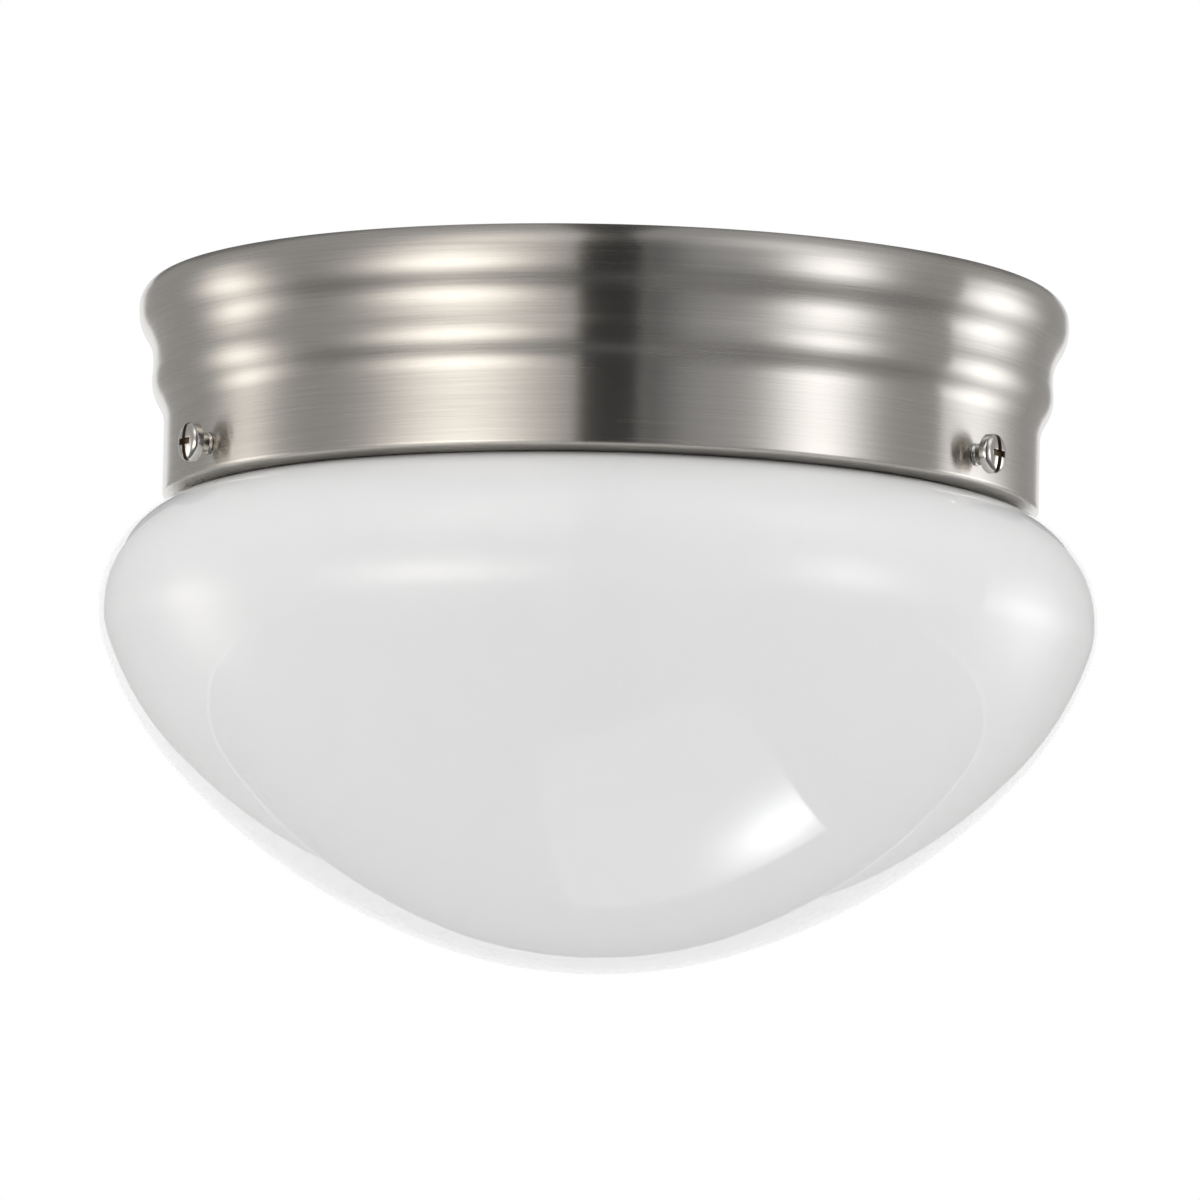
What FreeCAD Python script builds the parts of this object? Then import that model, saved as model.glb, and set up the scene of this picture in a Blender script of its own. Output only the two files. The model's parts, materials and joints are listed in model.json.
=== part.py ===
import FreeCAD, Part
import math
import os
import Sketcher
from types import SimpleNamespace

# A one-lamp flush mount ceiling light: a drawn and spun steel canopy pan, an opal glass shade
# held under its lip by three thumb screws, and the lampholder, bulb and wiring inside.
# Millimetres, +Z up. The origin is the centre of the pan's rim, in the plane of the ceiling,
# and the light hangs down from it. The photographed side faces -Y.

Vector = FreeCAD.Vector
Rotation = FreeCAD.Rotation
Placement = FreeCAD.Placement
Y_AXIS = Vector(0, 1, 0)
Z_AXIS = Vector(0, 0, 1)

doc = FreeCAD.newDocument("flush_mount_light")
sheet = doc.addObject("Spreadsheet::Sheet", "sizes")

# Driving dimensions, in millimetres and degrees, each written once.
SIZES = (
    # canopy pan: outer face of the sheet, from the lip opening outwards and up to the rim
    ("pan_wall", 0.7),
    ("pan_shoulder_radius", 5.0),
    ("pan_band_straight", 0.9),
    ("pan_waist_step", 2.9),
    ("pan_waist_length", 9.4),
    ("pan_waist_straight", 1.2),
    ("pan_bead_step", 0.16),
    ("pan_bead_length", 2.8),
    ("pan_skirt_step", 2.46),
    ("pan_skirt_length", 8.2),
    ("pan_height", 41.85),
    ("pan_lip_roll", 1.0),
    ("pan_lip_flat", 3.73),
    ("pan_rim_flat", 2.9),
    # recess in the ceiling side of the pan
    ("recess_depth", 6.0),
    ("sheet_bend", 1.2),
    ("wire_hole_radius", 9.0),
    # glass shade: outer face of the glass
    ("glass_wall", 3.0),
    ("glass_radius", 95.25),
    ("glass_rise", 0.31),
    ("glass_shoulder_flat", 0.65),
    ("glass_side_straight", 1.0),
    ("glass_side_radius", 17.3),
    ("glass_side_turn", 19.0),
    ("glass_bowl_radius", 67.7),
    ("glass_bowl_turn", 24.4),
    ("glass_base_radius", 123.6),
    ("glass_base_turn", 27.8),
    ("neck_radius", 70.2),
    ("neck_fillet", 3.4),
    ("lip_flare_turn", 30.0),
    ("lip_flare_bend", 2.5),
    ("lip_flare_step", 4.4),
    ("lip_clearance", 0.35),
    ("lip_passage", 4.27),
    # thumb screws and their nuts
    ("screw_count", 3),
    ("screw_turn", -2.5),
    ("screw_above_lip", 5.55),
    ("screw_tip_gap", 0.2),
    ("screw_stand_off", 2.7),
    ("screw_crest_radius", 2.08),
    ("screw_thread_depth", 0.4),
    ("screw_pitch", 0.8),
    ("screw_tip_chamfer", 0.5),
    ("screw_head_radius", 3.75),
    ("screw_head_edge", 0.55),
    ("screw_head_height", 2.6),
    ("screw_slot_width", 1.1),
    ("screw_slot_depth", 1.1),
    ("screw_cross_length", 3.6),
    ("screw_clearance", 0.07),
    ("nut_radius", 3.2),
    ("nut_thickness", 2.5),
    # crossbar and the two screws that hold the pan to it
    ("bar_length", 104.0),
    ("bar_width", 19.0),
    ("bar_thickness", 1.5),
    ("bar_corner", 4.0),
    ("box_screw_spacing", 79.4),
    ("box_slot_length", 14.5),
    ("box_slot_radius", 2.4),
    ("pan_screw_spacing", 50.0),
    ("pan_screw_radius", 2.05),
    ("pan_screw_head_radius", 4.0),
    ("pan_screw_head_height", 2.4),
    ("pan_screw_end_gap", 0.3),
    ("fixing_clearance", 0.05),
    ("keyhole_slot_radius", 2.5),
    ("keyhole_entry_radius", 4.8),
    ("keyhole_angle", 18.0),
    # insulation pad in the recess
    ("pad_width", 15.7),
    ("pad_rim_gap", 0.1),
    ("pad_thickness", 4.6),
    # wire bushing
    ("bushing_bore_radius", 7.6),
    ("bushing_flange_radius", 11.4),
    ("bushing_flange", 0.8),
    ("bushing_collar", 1.4),
    # lamp axis: it runs from the holder's back down and out along +X
    ("lamp_tilt", 15.0),
    ("holder_back_gap", 11.2),
    ("holder_back_depth", 36.0),
    # bracket that carries the lampholder
    ("bracket_thickness", 1.2),
    ("bracket_width", 14.0),
    ("bracket_bend", 1.6),
    ("bracket_foot", 9.5),
    ("bracket_reach", 9.0),
    ("rivet_radius", 1.6),
    ("rivet_head_radius", 3.0),
    ("rivet_head", 0.8),
    ("rivet_spacing", 8.4),
    ("rivet_row", 1.8),
    # lampholder
    ("holder_length", 38.0),
    ("holder_back_radius", 16.5),
    ("holder_front_radius", 20.0),
    ("holder_step_length", 13.0),
    ("holder_step_slope", 3.0),
    ("holder_edge", 1.5),
    ("holder_floor", 8.0),
    ("holder_bore_radius", 14.4),
    ("shell_wall", 0.4),
    ("shell_base_radius", 9.6),
    ("shell_flare", 1.2),
    ("shell_mouth", 1.4),
    ("eyelet_radius", 2.0),
    ("eyelet_head_radius", 3.6),
    ("eyelet_curl_radius", 3.0),
    ("eyelet_head", 1.1),
    ("contact_wall", 0.5),
    ("contact_width", 6.0),
    ("contact_bend", 1.1),
    ("contact_foot", 4.6),
    ("contact_tongue", 7.5),
    # bulb, from the tip of its contact
    ("bulb_seat_gap", 0.2),
    ("bulb_length", 108.0),
    ("bulb_radius", 30.0),
    ("bulb_neck_radius", 12.7),
    ("bulb_neck_sweep", 38.0),
    ("cap_grip", 1.6),
    ("bulb_wall", 0.8),
    ("cap_wall", 0.3),
    ("cap_root_radius", 12.1),
    ("cap_fillet", 1.2),
    ("cap_edge", 1.0),
    ("thread_depth", 0.85),
    ("thread_pitch", 3.63),
    ("thread_gap", 0.3),
    ("thread_start", 6.6),
    ("thread_end_gap", 2.5),
    ("cap_mouth", 25.0),
    ("cap_base_radius", 10.6),
    ("button_radius", 4.8),
    ("button_height", 1.6),
    ("insulator_height", 3.2),
    # wires
    ("lead_radius", 1.2),
    ("core_radius", 0.55),
    ("core_length", 9.0),
    ("lead_hole_depth", 4.0),
    ("lead_exit_side", 10.6),
    ("lead_rise", 12.5),
    ("lead_slack_x", -19.0),
    ("lead_slack_y", 7.5),
    ("lead_slack_drop", 9.5),
    ("lead_entry_x", -5.5),
    ("lead_entry_y", 3.6),
    ("lead_entry_drop", 7.0),
    ("lead_over_x", 4.5),
    ("lead_over_y", 3.2),
    ("lead_over_rise", 3.1),
    ("lead_fan_x", 19.0),
    ("lead_fan_y", 6.5),
    ("lead_fan_rise", 1.6),
    ("lead_ring_radius", 45.0),
    ("lead_lift", 0.2),
    ("ground_wire_radius", 0.8),
    ("ground_screw_offset", 17.0),
    ("ground_stud_x", -34.0),
    ("ground_stud_y", -14.0),
    ("ground_stud_height", 1.8),
    ("ground_run", 12.0),
    ("ground_corner_x", -14.0),
    ("ground_corner_y", -3.0),
    ("ground_rise_y", -9.0),
    ("ground_rise", 2.2),
    ("ground_hook_x", -8.0),
    ("ground_hook_y", -4.0),
    ("ground_end_y", 2.0),
    ("ground_lift", 0.1),
)

# How far a cutting shape reaches past the faces that it opens.
CUT_PAST = 1.0
# Half width of a screw's thread groove, as a share of its pitch.
GROOVE_SHARE = 0.45
# Directions, in degrees, of the points that a lead passes on its way round the recess.
LEAD_TURNS = (25, 48, 72, 96, 120, 143)


class Size:
    """A number that remembers the spreadsheet expression it came from."""

    def __init__(self, value, text):
        self.value = float(value)
        self.text = text

    def __add__(self, other):
        other = as_size(other)
        return Size(self.value + other.value, f"({self.text} + {other.text})")

    def __radd__(self, other):
        return as_size(other) + self

    def __sub__(self, other):
        other = as_size(other)
        return Size(self.value - other.value, f"({self.text} - {other.text})")

    def __rsub__(self, other):
        return as_size(other) - self

    def __mul__(self, other):
        other = as_size(other)
        return Size(self.value * other.value, f"({self.text} * {other.text})")

    def __rmul__(self, other):
        return as_size(other) * self

    def __truediv__(self, other):
        other = as_size(other)
        return Size(self.value / other.value, f"({self.text} / {other.text})")

    def __rtruediv__(self, other):
        return as_size(other) / self

    def __neg__(self):
        return Size(-self.value, f"(0 - {self.text})")

    def __float__(self):
        return self.value


def as_size(number):
    return number if isinstance(number, Size) else Size(number, f"{float(number):.9g}")


def sin(angle):
    angle = as_size(angle)
    return Size(math.sin(math.radians(angle.value)), f"sin({angle.text})")


def cos(angle):
    angle = as_size(angle)
    return Size(math.cos(math.radians(angle.value)), f"cos({angle.text})")


def tan(angle):
    angle = as_size(angle)
    return Size(math.tan(math.radians(angle.value)), f"tan({angle.text})")


def root(area):
    area = as_size(area)
    return Size(math.sqrt(area.value), f"sqrt({area.text})")


def arctan(slope):
    slope = as_size(slope)
    return Size(math.degrees(math.atan(slope.value)), f"(atan({slope.text}) / 1 deg)")


def arccos(ratio):
    ratio = as_size(ratio)
    return Size(math.degrees(math.acos(ratio.value)), f"(acos({ratio.text}) / 1 deg)")


def fill_sheet():
    sheet.set("A1", "name")
    sheet.set("B1", "size")
    for row, (name, value) in enumerate(SIZES, start=2):
        sheet.set(f"A{row}", name)
        sheet.set(f"B{row}", str(value))
        sheet.setAlias(f"B{row}", name)
    doc.recompute()
    return SimpleNamespace(**{name: Size(getattr(sheet, name), f"<<sizes>>.{name}") for name, _ in SIZES})


size = fill_sheet()


def worked_out(name, number):
    """Give a worked-out size its own named cell, so that the sizes built on it read shortly."""
    row = len(sheet.getUsedCells()) // 2 + 1
    sheet.set(f"A{row}", name)
    sheet.set(f"B{row}", "=" + number.text.replace("<<sizes>>.", ""))
    sheet.setAlias(f"B{row}", name)
    return Size(number.value, f"<<sizes>>.{name}")


# ---------------------------------------------------------------- outlines

class Outline:
    """A closed outline of lines and arcs, each shorter than half a circle."""

    def __init__(self, x, y):
        self.start = (as_size(x), as_size(y))
        self.steps = []

    def line(self, x, y):
        self.steps.append((as_size(x), as_size(y), None, 0))
        return self

    def arc(self, x, y, radius, side):
        """side is +1 for an arc that turns left, -1 for one that turns right."""
        self.steps.append((as_size(x), as_size(y), as_size(radius), side))
        return self

    def segments(self):
        """(start, end, radius, side) of each edge, closed back to the start."""
        here = self.start
        found = []
        for x, y, radius, side in self.steps:
            found.append((here, (x, y), radius, side))
            here = (x, y)
        closed = max(abs(here[0].value - self.start[0].value), abs(here[1].value - self.start[1].value))
        if closed > 1e-7:
            found.append((here, self.start, None, 0))
        else:
            first, _, radius, side = found[-1]
            found[-1] = (first, self.start, radius, side)
        return found


class Strip:
    """A sheet of even thickness: a run of tangent lines and arcs, and its offset to the right."""

    def __init__(self, x, y, heading, thickness):
        self.start = (as_size(x), as_size(y))
        self.heading = as_size(heading)
        self.thickness = as_size(thickness)
        self.moves = []

    def line(self, length):
        self.moves.append((as_size(length), None))
        return self

    def arc(self, radius, turn):
        """A positive turn, in degrees, is to the left; the radius is the drawn side's."""
        self.moves.append((as_size(radius), as_size(turn)))
        return self

    def s_curve(self, step, length, side):
        """Two equal arcs that move the run sideways by step over length: side +1 is to the left."""
        turn = 2 * arctan(step / length)
        radius = length / (2 * sin(turn))
        return self.arc(radius, side * turn).arc(radius, -side * turn)

    def run(self, offset):
        """Vertices of the run at an offset to the right, each with the arc that leads to it."""
        heading = self.heading
        x = self.start[0] + offset * sin(heading)
        y = self.start[1] - offset * cos(heading)
        vertices = [(x, y, None, 0)]
        for amount, turn in self.moves:
            if turn is None:
                x = x + amount * cos(heading)
                y = y + amount * sin(heading)
                vertices.append((x, y, None, 0))
                continue
            side = 1 if turn.value > 0 else -1
            radius = amount + side * offset
            after = heading + turn
            x = x + side * radius * (sin(after) - sin(heading))
            y = y - side * radius * (cos(after) - cos(heading))
            heading = after
            vertices.append((x, y, radius, side))
        return vertices, heading

    def outline(self):
        drawn, _ = self.run(as_size(0))
        offset, _ = self.run(self.thickness)
        shape = Outline(drawn[0][0], drawn[0][1])
        shape.steps = list(drawn[1:])
        shape.line(offset[-1][0], offset[-1][1])
        for index in range(len(offset) - 1, 0, -1):
            _, _, radius, side = offset[index]
            x, y = offset[index - 1][:2]
            shape.steps.append((x, y, radius, -side))
        return shape


def circle_outline(x, y, radius):
    """A full circle, as four quarter arcs."""
    x, y, radius = as_size(x), as_size(y), as_size(radius)
    shape = Outline(x + radius, y)
    for side_x, side_y in ((0, 1), (-1, 0), (0, -1), (1, 0)):
        shape.arc(x + side_x * radius, y + side_y * radius, radius, 1)
    return shape


def slot_outline(x, y, length, radius):
    """A slot along X with round ends, its overall length included."""
    x, y, length, radius = as_size(x), as_size(y), as_size(length), as_size(radius)
    reach = length / 2 - radius
    shape = Outline(x - reach, y - radius).line(x + reach, y - radius)
    shape.arc(x + reach + radius, y, radius, 1).arc(x + reach, y + radius, radius, 1)
    shape.line(x - reach, y + radius)
    shape.arc(x - reach - radius, y, radius, 1).arc(x - reach, y - radius, radius, 1)
    return shape


def rectangle_outline(x, y, length, width, corner=0):
    x, y, corner = as_size(x), as_size(y), as_size(corner)
    right, top = as_size(length) / 2, as_size(width) / 2
    if corner.value == 0:
        shape = Outline(x - right, y - top).line(x + right, y - top)
        return shape.line(x + right, y + top).line(x - right, y + top)
    shape = Outline(x - right + corner, y - top).line(x + right - corner, y - top)
    shape.arc(x + right, y - top + corner, corner, 1).line(x + right, y + top - corner)
    shape.arc(x + right - corner, y + top, corner, 1).line(x - right + corner, y + top)
    shape.arc(x - right, y + top - corner, corner, 1).line(x - right, y - top + corner)
    return shape.arc(x - right + corner, y - top, corner, 1)


def edge_geometry(start, end, radius, side):
    """The edge, and which of its ends is the outline's start."""
    a = Vector(start[0].value, start[1].value, 0)
    b = Vector(end[0].value, end[1].value, 0)
    if radius is None:
        return Part.LineSegment(a, b), 1
    chord = b - a
    middle = (a + b) * 0.5
    rise = math.sqrt(max(radius.value ** 2 - chord.Length ** 2 / 4, 0))
    left = Vector(-chord.y, chord.x, 0).normalize()
    centre = middle + left * (rise * side)
    first, last = (a, b) if side > 0 else (b, a)
    begin = math.atan2(first.y - centre.y, first.x - centre.x)
    finish = math.atan2(last.y - centre.y, last.x - centre.x)
    if finish <= begin:
        finish += 2 * math.pi
    circle = Part.Circle(centre, Z_AXIS, radius.value)
    return Part.ArcOfCircle(circle, begin, finish), 1 if side > 0 else 2


def draw(sketch, outline):
    """Add a closed outline whose corners and radii follow the spreadsheet."""
    edges = outline.segments()
    geometry = [edge_geometry(*edge) for edge in edges]
    base = sketch.GeometryCount
    sketch.addGeometry([shape for shape, _ in geometry], False)
    rules = []
    texts = []
    for index, ((start, _, radius, _), (_, first)) in enumerate(zip(edges, geometry)):
        following = (index + 1) % len(edges)
        rules.append(Sketcher.Constraint("Coincident", base + index, 3 - first,
                                         base + following, geometry[following][1]))
        texts.append(None)
        rules.append(Sketcher.Constraint("DistanceX", -1, 1, base + index, first, start[0].value))
        texts.append(start[0].text)
        rules.append(Sketcher.Constraint("DistanceY", -1, 1, base + index, first, start[1].value))
        texts.append(start[1].text)
        if radius is not None:
            rules.append(Sketcher.Constraint("Radius", base + index, radius.value))
            texts.append(radius.text)
    numbers = sketch.addConstraint(rules)
    for number, text in zip(numbers, texts):
        if text is not None:
            sketch.setExpression(f"Constraints[{number}]", text)


def sketch_in(body, role, name, *outlines):
    plane = next(item for item in body.Origin.OriginFeatures if item.Role == role)
    sketch = body.newObject("Sketcher::SketchObject", f"{body.Name}_{name}")
    sketch.AttachmentSupport = [(plane, "")]
    sketch.MapMode = "FlatFace"
    for outline in outlines:
        draw(sketch, outline)
    return sketch


# ---------------------------------------------------------------- features

nodes = []


def keep(item, placement=None):
    """Note a finished sub-part, and put it in its place."""
    if placement is not None:
        item.Placement = placement
    nodes.append(item)
    return item


def new_body(label):
    body = doc.addObject("PartDesign::Body", label)
    body.Label = label
    return body


def axis_of(body):
    return next(item for item in body.Origin.OriginFeatures if item.Role == "Z_Axis")


def turned(body, outline, name="profile"):
    """Revolve an outline, drawn as radius and height, about the body's Z axis."""
    sketch = sketch_in(body, "XZ_Plane", name, outline)
    feature = body.newObject("PartDesign::Revolution", f"{body.Name}_turned_{name}")
    feature.Profile = sketch
    feature.ReferenceAxis = (sketch, ["V_Axis"])
    feature.Angle = 360
    sketch.Visibility = False
    return feature


def grooved(body, outline, name):
    sketch = sketch_in(body, "XZ_Plane", name, outline)
    feature = body.newObject("PartDesign::Groove", f"{body.Name}_{name}_groove")
    feature.Profile = sketch
    feature.ReferenceAxis = (sketch, ["V_Axis"])
    feature.Angle = 360
    return feature


def padded(body, role, height, *outlines, name="plan", midplane=False):
    sketch = sketch_in(body, role, name, *outlines)
    feature = body.newObject("PartDesign::Pad", f"{body.Name}_{name}_pad")
    feature.Profile = sketch
    if midplane:
        feature.SideType = "Symmetric"
    feature.setExpression("Length", as_size(height).text)
    return feature


def pocketed(body, role, depth, *outlines, name="holes", offset=None, reverse=False):
    """Cut outlines by a depth against the normal of the origin plane."""
    sketch = sketch_in(body, role, name, *outlines)
    if offset is not None:
        sketch.setExpression("AttachmentOffset.Base.z", as_size(offset).text)
    feature = body.newObject("PartDesign::Pocket", f"{body.Name}_{name}_pocket")
    feature.Profile = sketch
    feature.Reversed = reverse
    feature.setExpression("Length", as_size(depth).text)
    return feature


def at(x=0, y=0, z=0, axis=Z_AXIS, angle=0):
    return Placement(Vector(float(x), float(y), float(z)), Rotation(axis, float(angle)))


# ---------------------------------------------------------------- canopy pan

web_top = -size.recess_depth
web_bottom = web_top - size.pan_wall
pan_lip_depth = -size.pan_height
lip_radius = worked_out("lip_radius", size.neck_radius + size.lip_flare_step)
pan_skirt_radius = worked_out("pan_skirt_radius", lip_radius + size.lip_passage + size.pan_lip_flat
                              + size.pan_lip_roll)
pan_band_radius = worked_out("pan_band_radius", pan_skirt_radius + size.pan_skirt_step
                             - size.pan_bead_step + size.pan_waist_step)
recess_radius = worked_out("recess_radius", pan_band_radius - size.pan_shoulder_radius
                           - size.pan_rim_flat - size.sheet_bend - size.pan_wall)
screw_height = pan_lip_depth + size.screw_above_lip
screw_tip = worked_out("screw_tip", size.neck_radius + size.screw_tip_gap)
screw_length = worked_out("screw_length", pan_skirt_radius + size.screw_stand_off - screw_tip)
holder_back = worked_out("holder_back", size.glass_wall + size.holder_back_gap - size.neck_radius)
rivet_row = holder_back - size.rivet_row


def screw_angles():
    """Directions of the thumb screws about +Z, the first one left of the front."""
    count = int(float(size.screw_count))
    first = -90 - 180 / count + size.screw_turn.value
    return [first + 360 * index / count for index in range(count)]


def canopy_pan():
    body = new_body("canopy_pan")
    bend = size.sheet_bend
    outer_bend = bend + size.pan_wall
    strip = Strip(size.wire_hole_radius, web_top, 0, size.pan_wall)
    strip.line(recess_radius - size.wire_hole_radius - bend).arc(bend, 90)
    strip.line(size.recess_depth - bend - outer_bend).arc(outer_bend, -90)
    strip.line(size.pan_rim_flat).arc(size.pan_shoulder_radius, -90).line(size.pan_band_straight)
    strip.s_curve(size.pan_waist_step, size.pan_waist_length, -1).line(size.pan_waist_straight)
    strip.s_curve(size.pan_bead_step, size.pan_bead_length, 1)
    strip.s_curve(size.pan_skirt_step, size.pan_skirt_length, -1)
    above_skirt = (size.pan_shoulder_radius + size.pan_band_straight + size.pan_waist_length
                   + size.pan_waist_straight + size.pan_bead_length + size.pan_skirt_length)
    strip.line(size.pan_height - size.pan_lip_roll - above_skirt)
    strip.arc(size.pan_lip_roll, -90).line(size.pan_lip_flat)
    turned(body, strip.outline())
    # keyholes that drop over the heads of the two pan screws, and rivet holes for the bracket
    half = size.pan_screw_spacing / 2
    turn = size.keyhole_angle
    holes = []
    for side in (-1, 1):
        entry_x = side * half * sin(turn)
        entry_y = side * half * cos(turn)
        holes.append(circle_outline(entry_x, entry_y, size.keyhole_entry_radius))
    pocketed(body, "XY_Plane", size.recess_depth + 2 * size.pan_wall, *holes, name="keyhole_entries")
    slots = [keyhole_slot(side) for side in (-1, 1)]
    pocketed(body, "XY_Plane", size.recess_depth + 2 * size.pan_wall, *slots, name="keyhole_slots")
    rivets = [circle_outline(rivet_row, side * size.rivet_spacing / 2,
                             size.rivet_radius + size.fixing_clearance) for side in (-1, 1)]
    pocketed(body, "XY_Plane", size.recess_depth + 2 * size.pan_wall, *rivets, name="rivet_holes")
    # clearance holes for the thumb screws, spaced round the skirt
    angle = screw_angles()[0]
    bore = body.newObject("PartDesign::SubtractiveCylinder", "canopy_pan_screw_bore")
    bore.setExpression("Radius", (size.screw_crest_radius + size.screw_clearance).text)
    bore.setExpression("Height", (2 * size.screw_above_lip).text)
    outward = Rotation(Z_AXIS, angle).multiply(Rotation(Y_AXIS, 90))
    start = (pan_skirt_radius - size.screw_above_lip).value
    radians = math.radians(angle)
    bore.Placement = Placement(Vector(start * math.cos(radians), start * math.sin(radians),
                                      screw_height.value), outward)
    doc.recompute()
    pattern = body.newObject("PartDesign::PolarPattern", "canopy_pan_screw_bores")
    pattern.Originals = [bore]
    pattern.Axis = (axis_of(body), [""])
    pattern.Angle = 360
    pattern.setExpression("Occurrences", size.screw_count.text)
    body.Tip = pattern
    return keep(body)


def keyhole_slot(side):
    """The narrow end of a keyhole: from the entry back to the pan screw, along a chord."""
    half = size.pan_screw_spacing / 2
    turn = size.keyhole_angle
    start = (as_size(0), side * half)
    finish = (side * half * sin(turn), side * half * cos(turn))
    direction = (side * cos(turn / 2), -side * sin(turn / 2))
    normal = (-direction[1], direction[0])
    radius = size.keyhole_slot_radius
    shape = Outline(start[0] - radius * normal[0], start[1] - radius * normal[1])
    shape.line(finish[0] - radius * normal[0], finish[1] - radius * normal[1])
    shape.line(finish[0] + radius * normal[0], finish[1] + radius * normal[1])
    shape.line(start[0] + radius * normal[0], start[1] + radius * normal[1])
    shape.arc(start[0] - radius * direction[0], start[1] - radius * direction[1], radius, 1)
    shape.arc(start[0] - radius * normal[0], start[1] - radius * normal[1], radius, 1)
    return shape


# ---------------------------------------------------------------- glass shade

lip_foot = screw_height + size.screw_crest_radius + size.lip_clearance


def glass_shade():
    body = new_body("glass_shade")
    flare = size.lip_flare_turn
    bend_height = size.lip_flare_bend * sin(flare)
    bend_step = size.lip_flare_bend * (1 - cos(flare))
    flare_length = (size.lip_flare_step - bend_step) / sin(flare)
    shoulder_top = pan_lip_depth + size.glass_rise
    shoulder_radius = (size.glass_radius - size.neck_radius - size.neck_fillet
                       - size.glass_shoulder_flat)
    lip_top = lip_foot + bend_height + flare_length * cos(flare)
    strip = Strip(lip_radius, lip_top, -90 - flare, size.glass_wall)
    strip.line(flare_length).arc(size.lip_flare_bend, flare)
    strip.line(lip_foot - shoulder_top - size.neck_fillet)
    strip.arc(size.neck_fillet, 90).line(size.glass_shoulder_flat).arc(shoulder_radius, -90)
    strip.line(size.glass_side_straight).arc(size.glass_side_radius, -size.glass_side_turn)
    strip.arc(size.glass_bowl_radius, -size.glass_bowl_turn)
    strip.arc(size.glass_base_radius, -size.glass_base_turn)
    vertices, heading = strip.run(as_size(0))
    leftover = 180 + heading
    strip.arc(vertices[-1][0] / sin(leftover), -leftover)
    turned(body, strip.outline())
    return keep(body)


# ---------------------------------------------------------------- thumb screws and nuts

def thumb_screw(number, angle):
    """Head outwards on +Z, tip at the origin."""
    body = new_body(f"thumb_screw_{number}")
    crest = size.screw_crest_radius
    head = screw_length
    edge = head + size.screw_head_edge
    dome_height = size.screw_head_height - size.screw_head_edge
    dome_radius = (size.screw_head_radius * size.screw_head_radius
                   + dome_height * dome_height) / (2 * dome_height)
    shape = Outline(0, 0).line(crest - size.screw_tip_chamfer, 0).line(crest, size.screw_tip_chamfer)
    shape.line(crest, head).line(size.screw_head_radius, head).line(size.screw_head_radius, edge)
    shape.arc(0, head + size.screw_head_height, dome_radius, 1)
    turned(body, shape)
    pitch = size.screw_pitch
    depth = size.screw_thread_depth
    first = size.screw_tip_chamfer + pitch
    flank = GROOVE_SHARE * pitch
    beyond = crest + size.screw_clearance
    over = flank * (beyond - crest) / depth
    notch = Outline(crest - depth, first).line(beyond, first - flank - over)
    notch.line(beyond, first + flank + over)
    groove = grooved(body, notch, "thread")
    turns = int((screw_length.value - 3 * pitch.value) / pitch.value)
    pattern = body.newObject("PartDesign::LinearPattern", f"{body.Name}_thread")
    pattern.Originals = [groove]
    pattern.Direction = (axis_of(body), [""])
    pattern.Occurrences = turns
    pattern.setExpression("Length", (pitch * (turns - 1)).text)
    body.Tip = pattern
    # a screwdriver slot right across the dome, and the short bar of the cross
    reach = 2 * (size.screw_head_radius + CUT_PAST)
    slot_floor = head + size.screw_head_height - size.screw_slot_depth
    slot = rectangle_outline(0, 0, reach, size.screw_slot_width)
    pocketed(body, "XY_Plane", size.screw_slot_depth + CUT_PAST, slot, name="slot", offset=slot_floor,
             reverse=True)
    bar = rectangle_outline(0, 0, size.screw_slot_width, size.screw_cross_length)
    pocketed(body, "XY_Plane", size.screw_slot_depth + CUT_PAST, bar, name="cross", offset=slot_floor,
             reverse=True)
    outward = Rotation(Z_AXIS, angle).multiply(Rotation(Y_AXIS, 90))
    radians = math.radians(angle)
    tip = screw_tip.value
    place = Vector(tip * math.cos(radians), tip * math.sin(radians), screw_height.value)
    return keep(body, Placement(place, outward))


def thumb_screw_nut(number, angle):
    """A clinched round nut whose outer face follows the skirt's inner wall."""
    wall = pan_skirt_radius - size.pan_wall
    label = f"thumb_screw_nut_{number}"
    blank = doc.addObject("Part::Cylinder", f"{label}_blank")
    blank.setExpression("Radius", size.nut_radius.text)
    blank.setExpression("Height", (size.nut_thickness + 2 * CUT_PAST).text)
    bore = doc.addObject("Part::Cylinder", f"{label}_bore")
    bore.setExpression("Radius", (size.screw_crest_radius + size.screw_clearance).text)
    bore.setExpression("Height", (size.nut_thickness + 4 * CUT_PAST).text)
    skirt = doc.addObject("Part::Cylinder", f"{label}_skirt")
    skirt.setExpression("Radius", wall.text)
    skirt.setExpression("Height", size.pan_height.text)
    outward = Rotation(Z_AXIS, angle).multiply(Rotation(Y_AXIS, 90))
    radians = math.radians(angle)
    direction = Vector(math.cos(radians), math.sin(radians), 0)
    foot = (wall - size.nut_thickness).value
    blank.Placement = Placement(direction * foot + Z_AXIS * screw_height.value, outward)
    bore.Placement = Placement(direction * (foot - CUT_PAST) + Z_AXIS * screw_height.value, outward)
    skirt.Placement = at(z=pan_lip_depth)
    fitted = doc.addObject("Part::Common", f"{label}_fitted")
    fitted.Base = blank
    fitted.Tool = skirt
    nut = doc.addObject("Part::Cut", label)
    nut.Base = fitted
    nut.Tool = bore
    nut.Label = label
    return keep(nut)


# ---------------------------------------------------------------- ceiling side

def insulation_pad():
    body = new_body("insulation_pad")
    outer = recess_radius - size.sheet_bend - size.pad_rim_gap
    ring = (circle_outline(0, 0, outer), circle_outline(0, 0, outer - size.pad_width))
    padded(body, "XY_Plane", size.pad_thickness, *ring)
    return keep(body, at(z=web_top))


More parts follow.
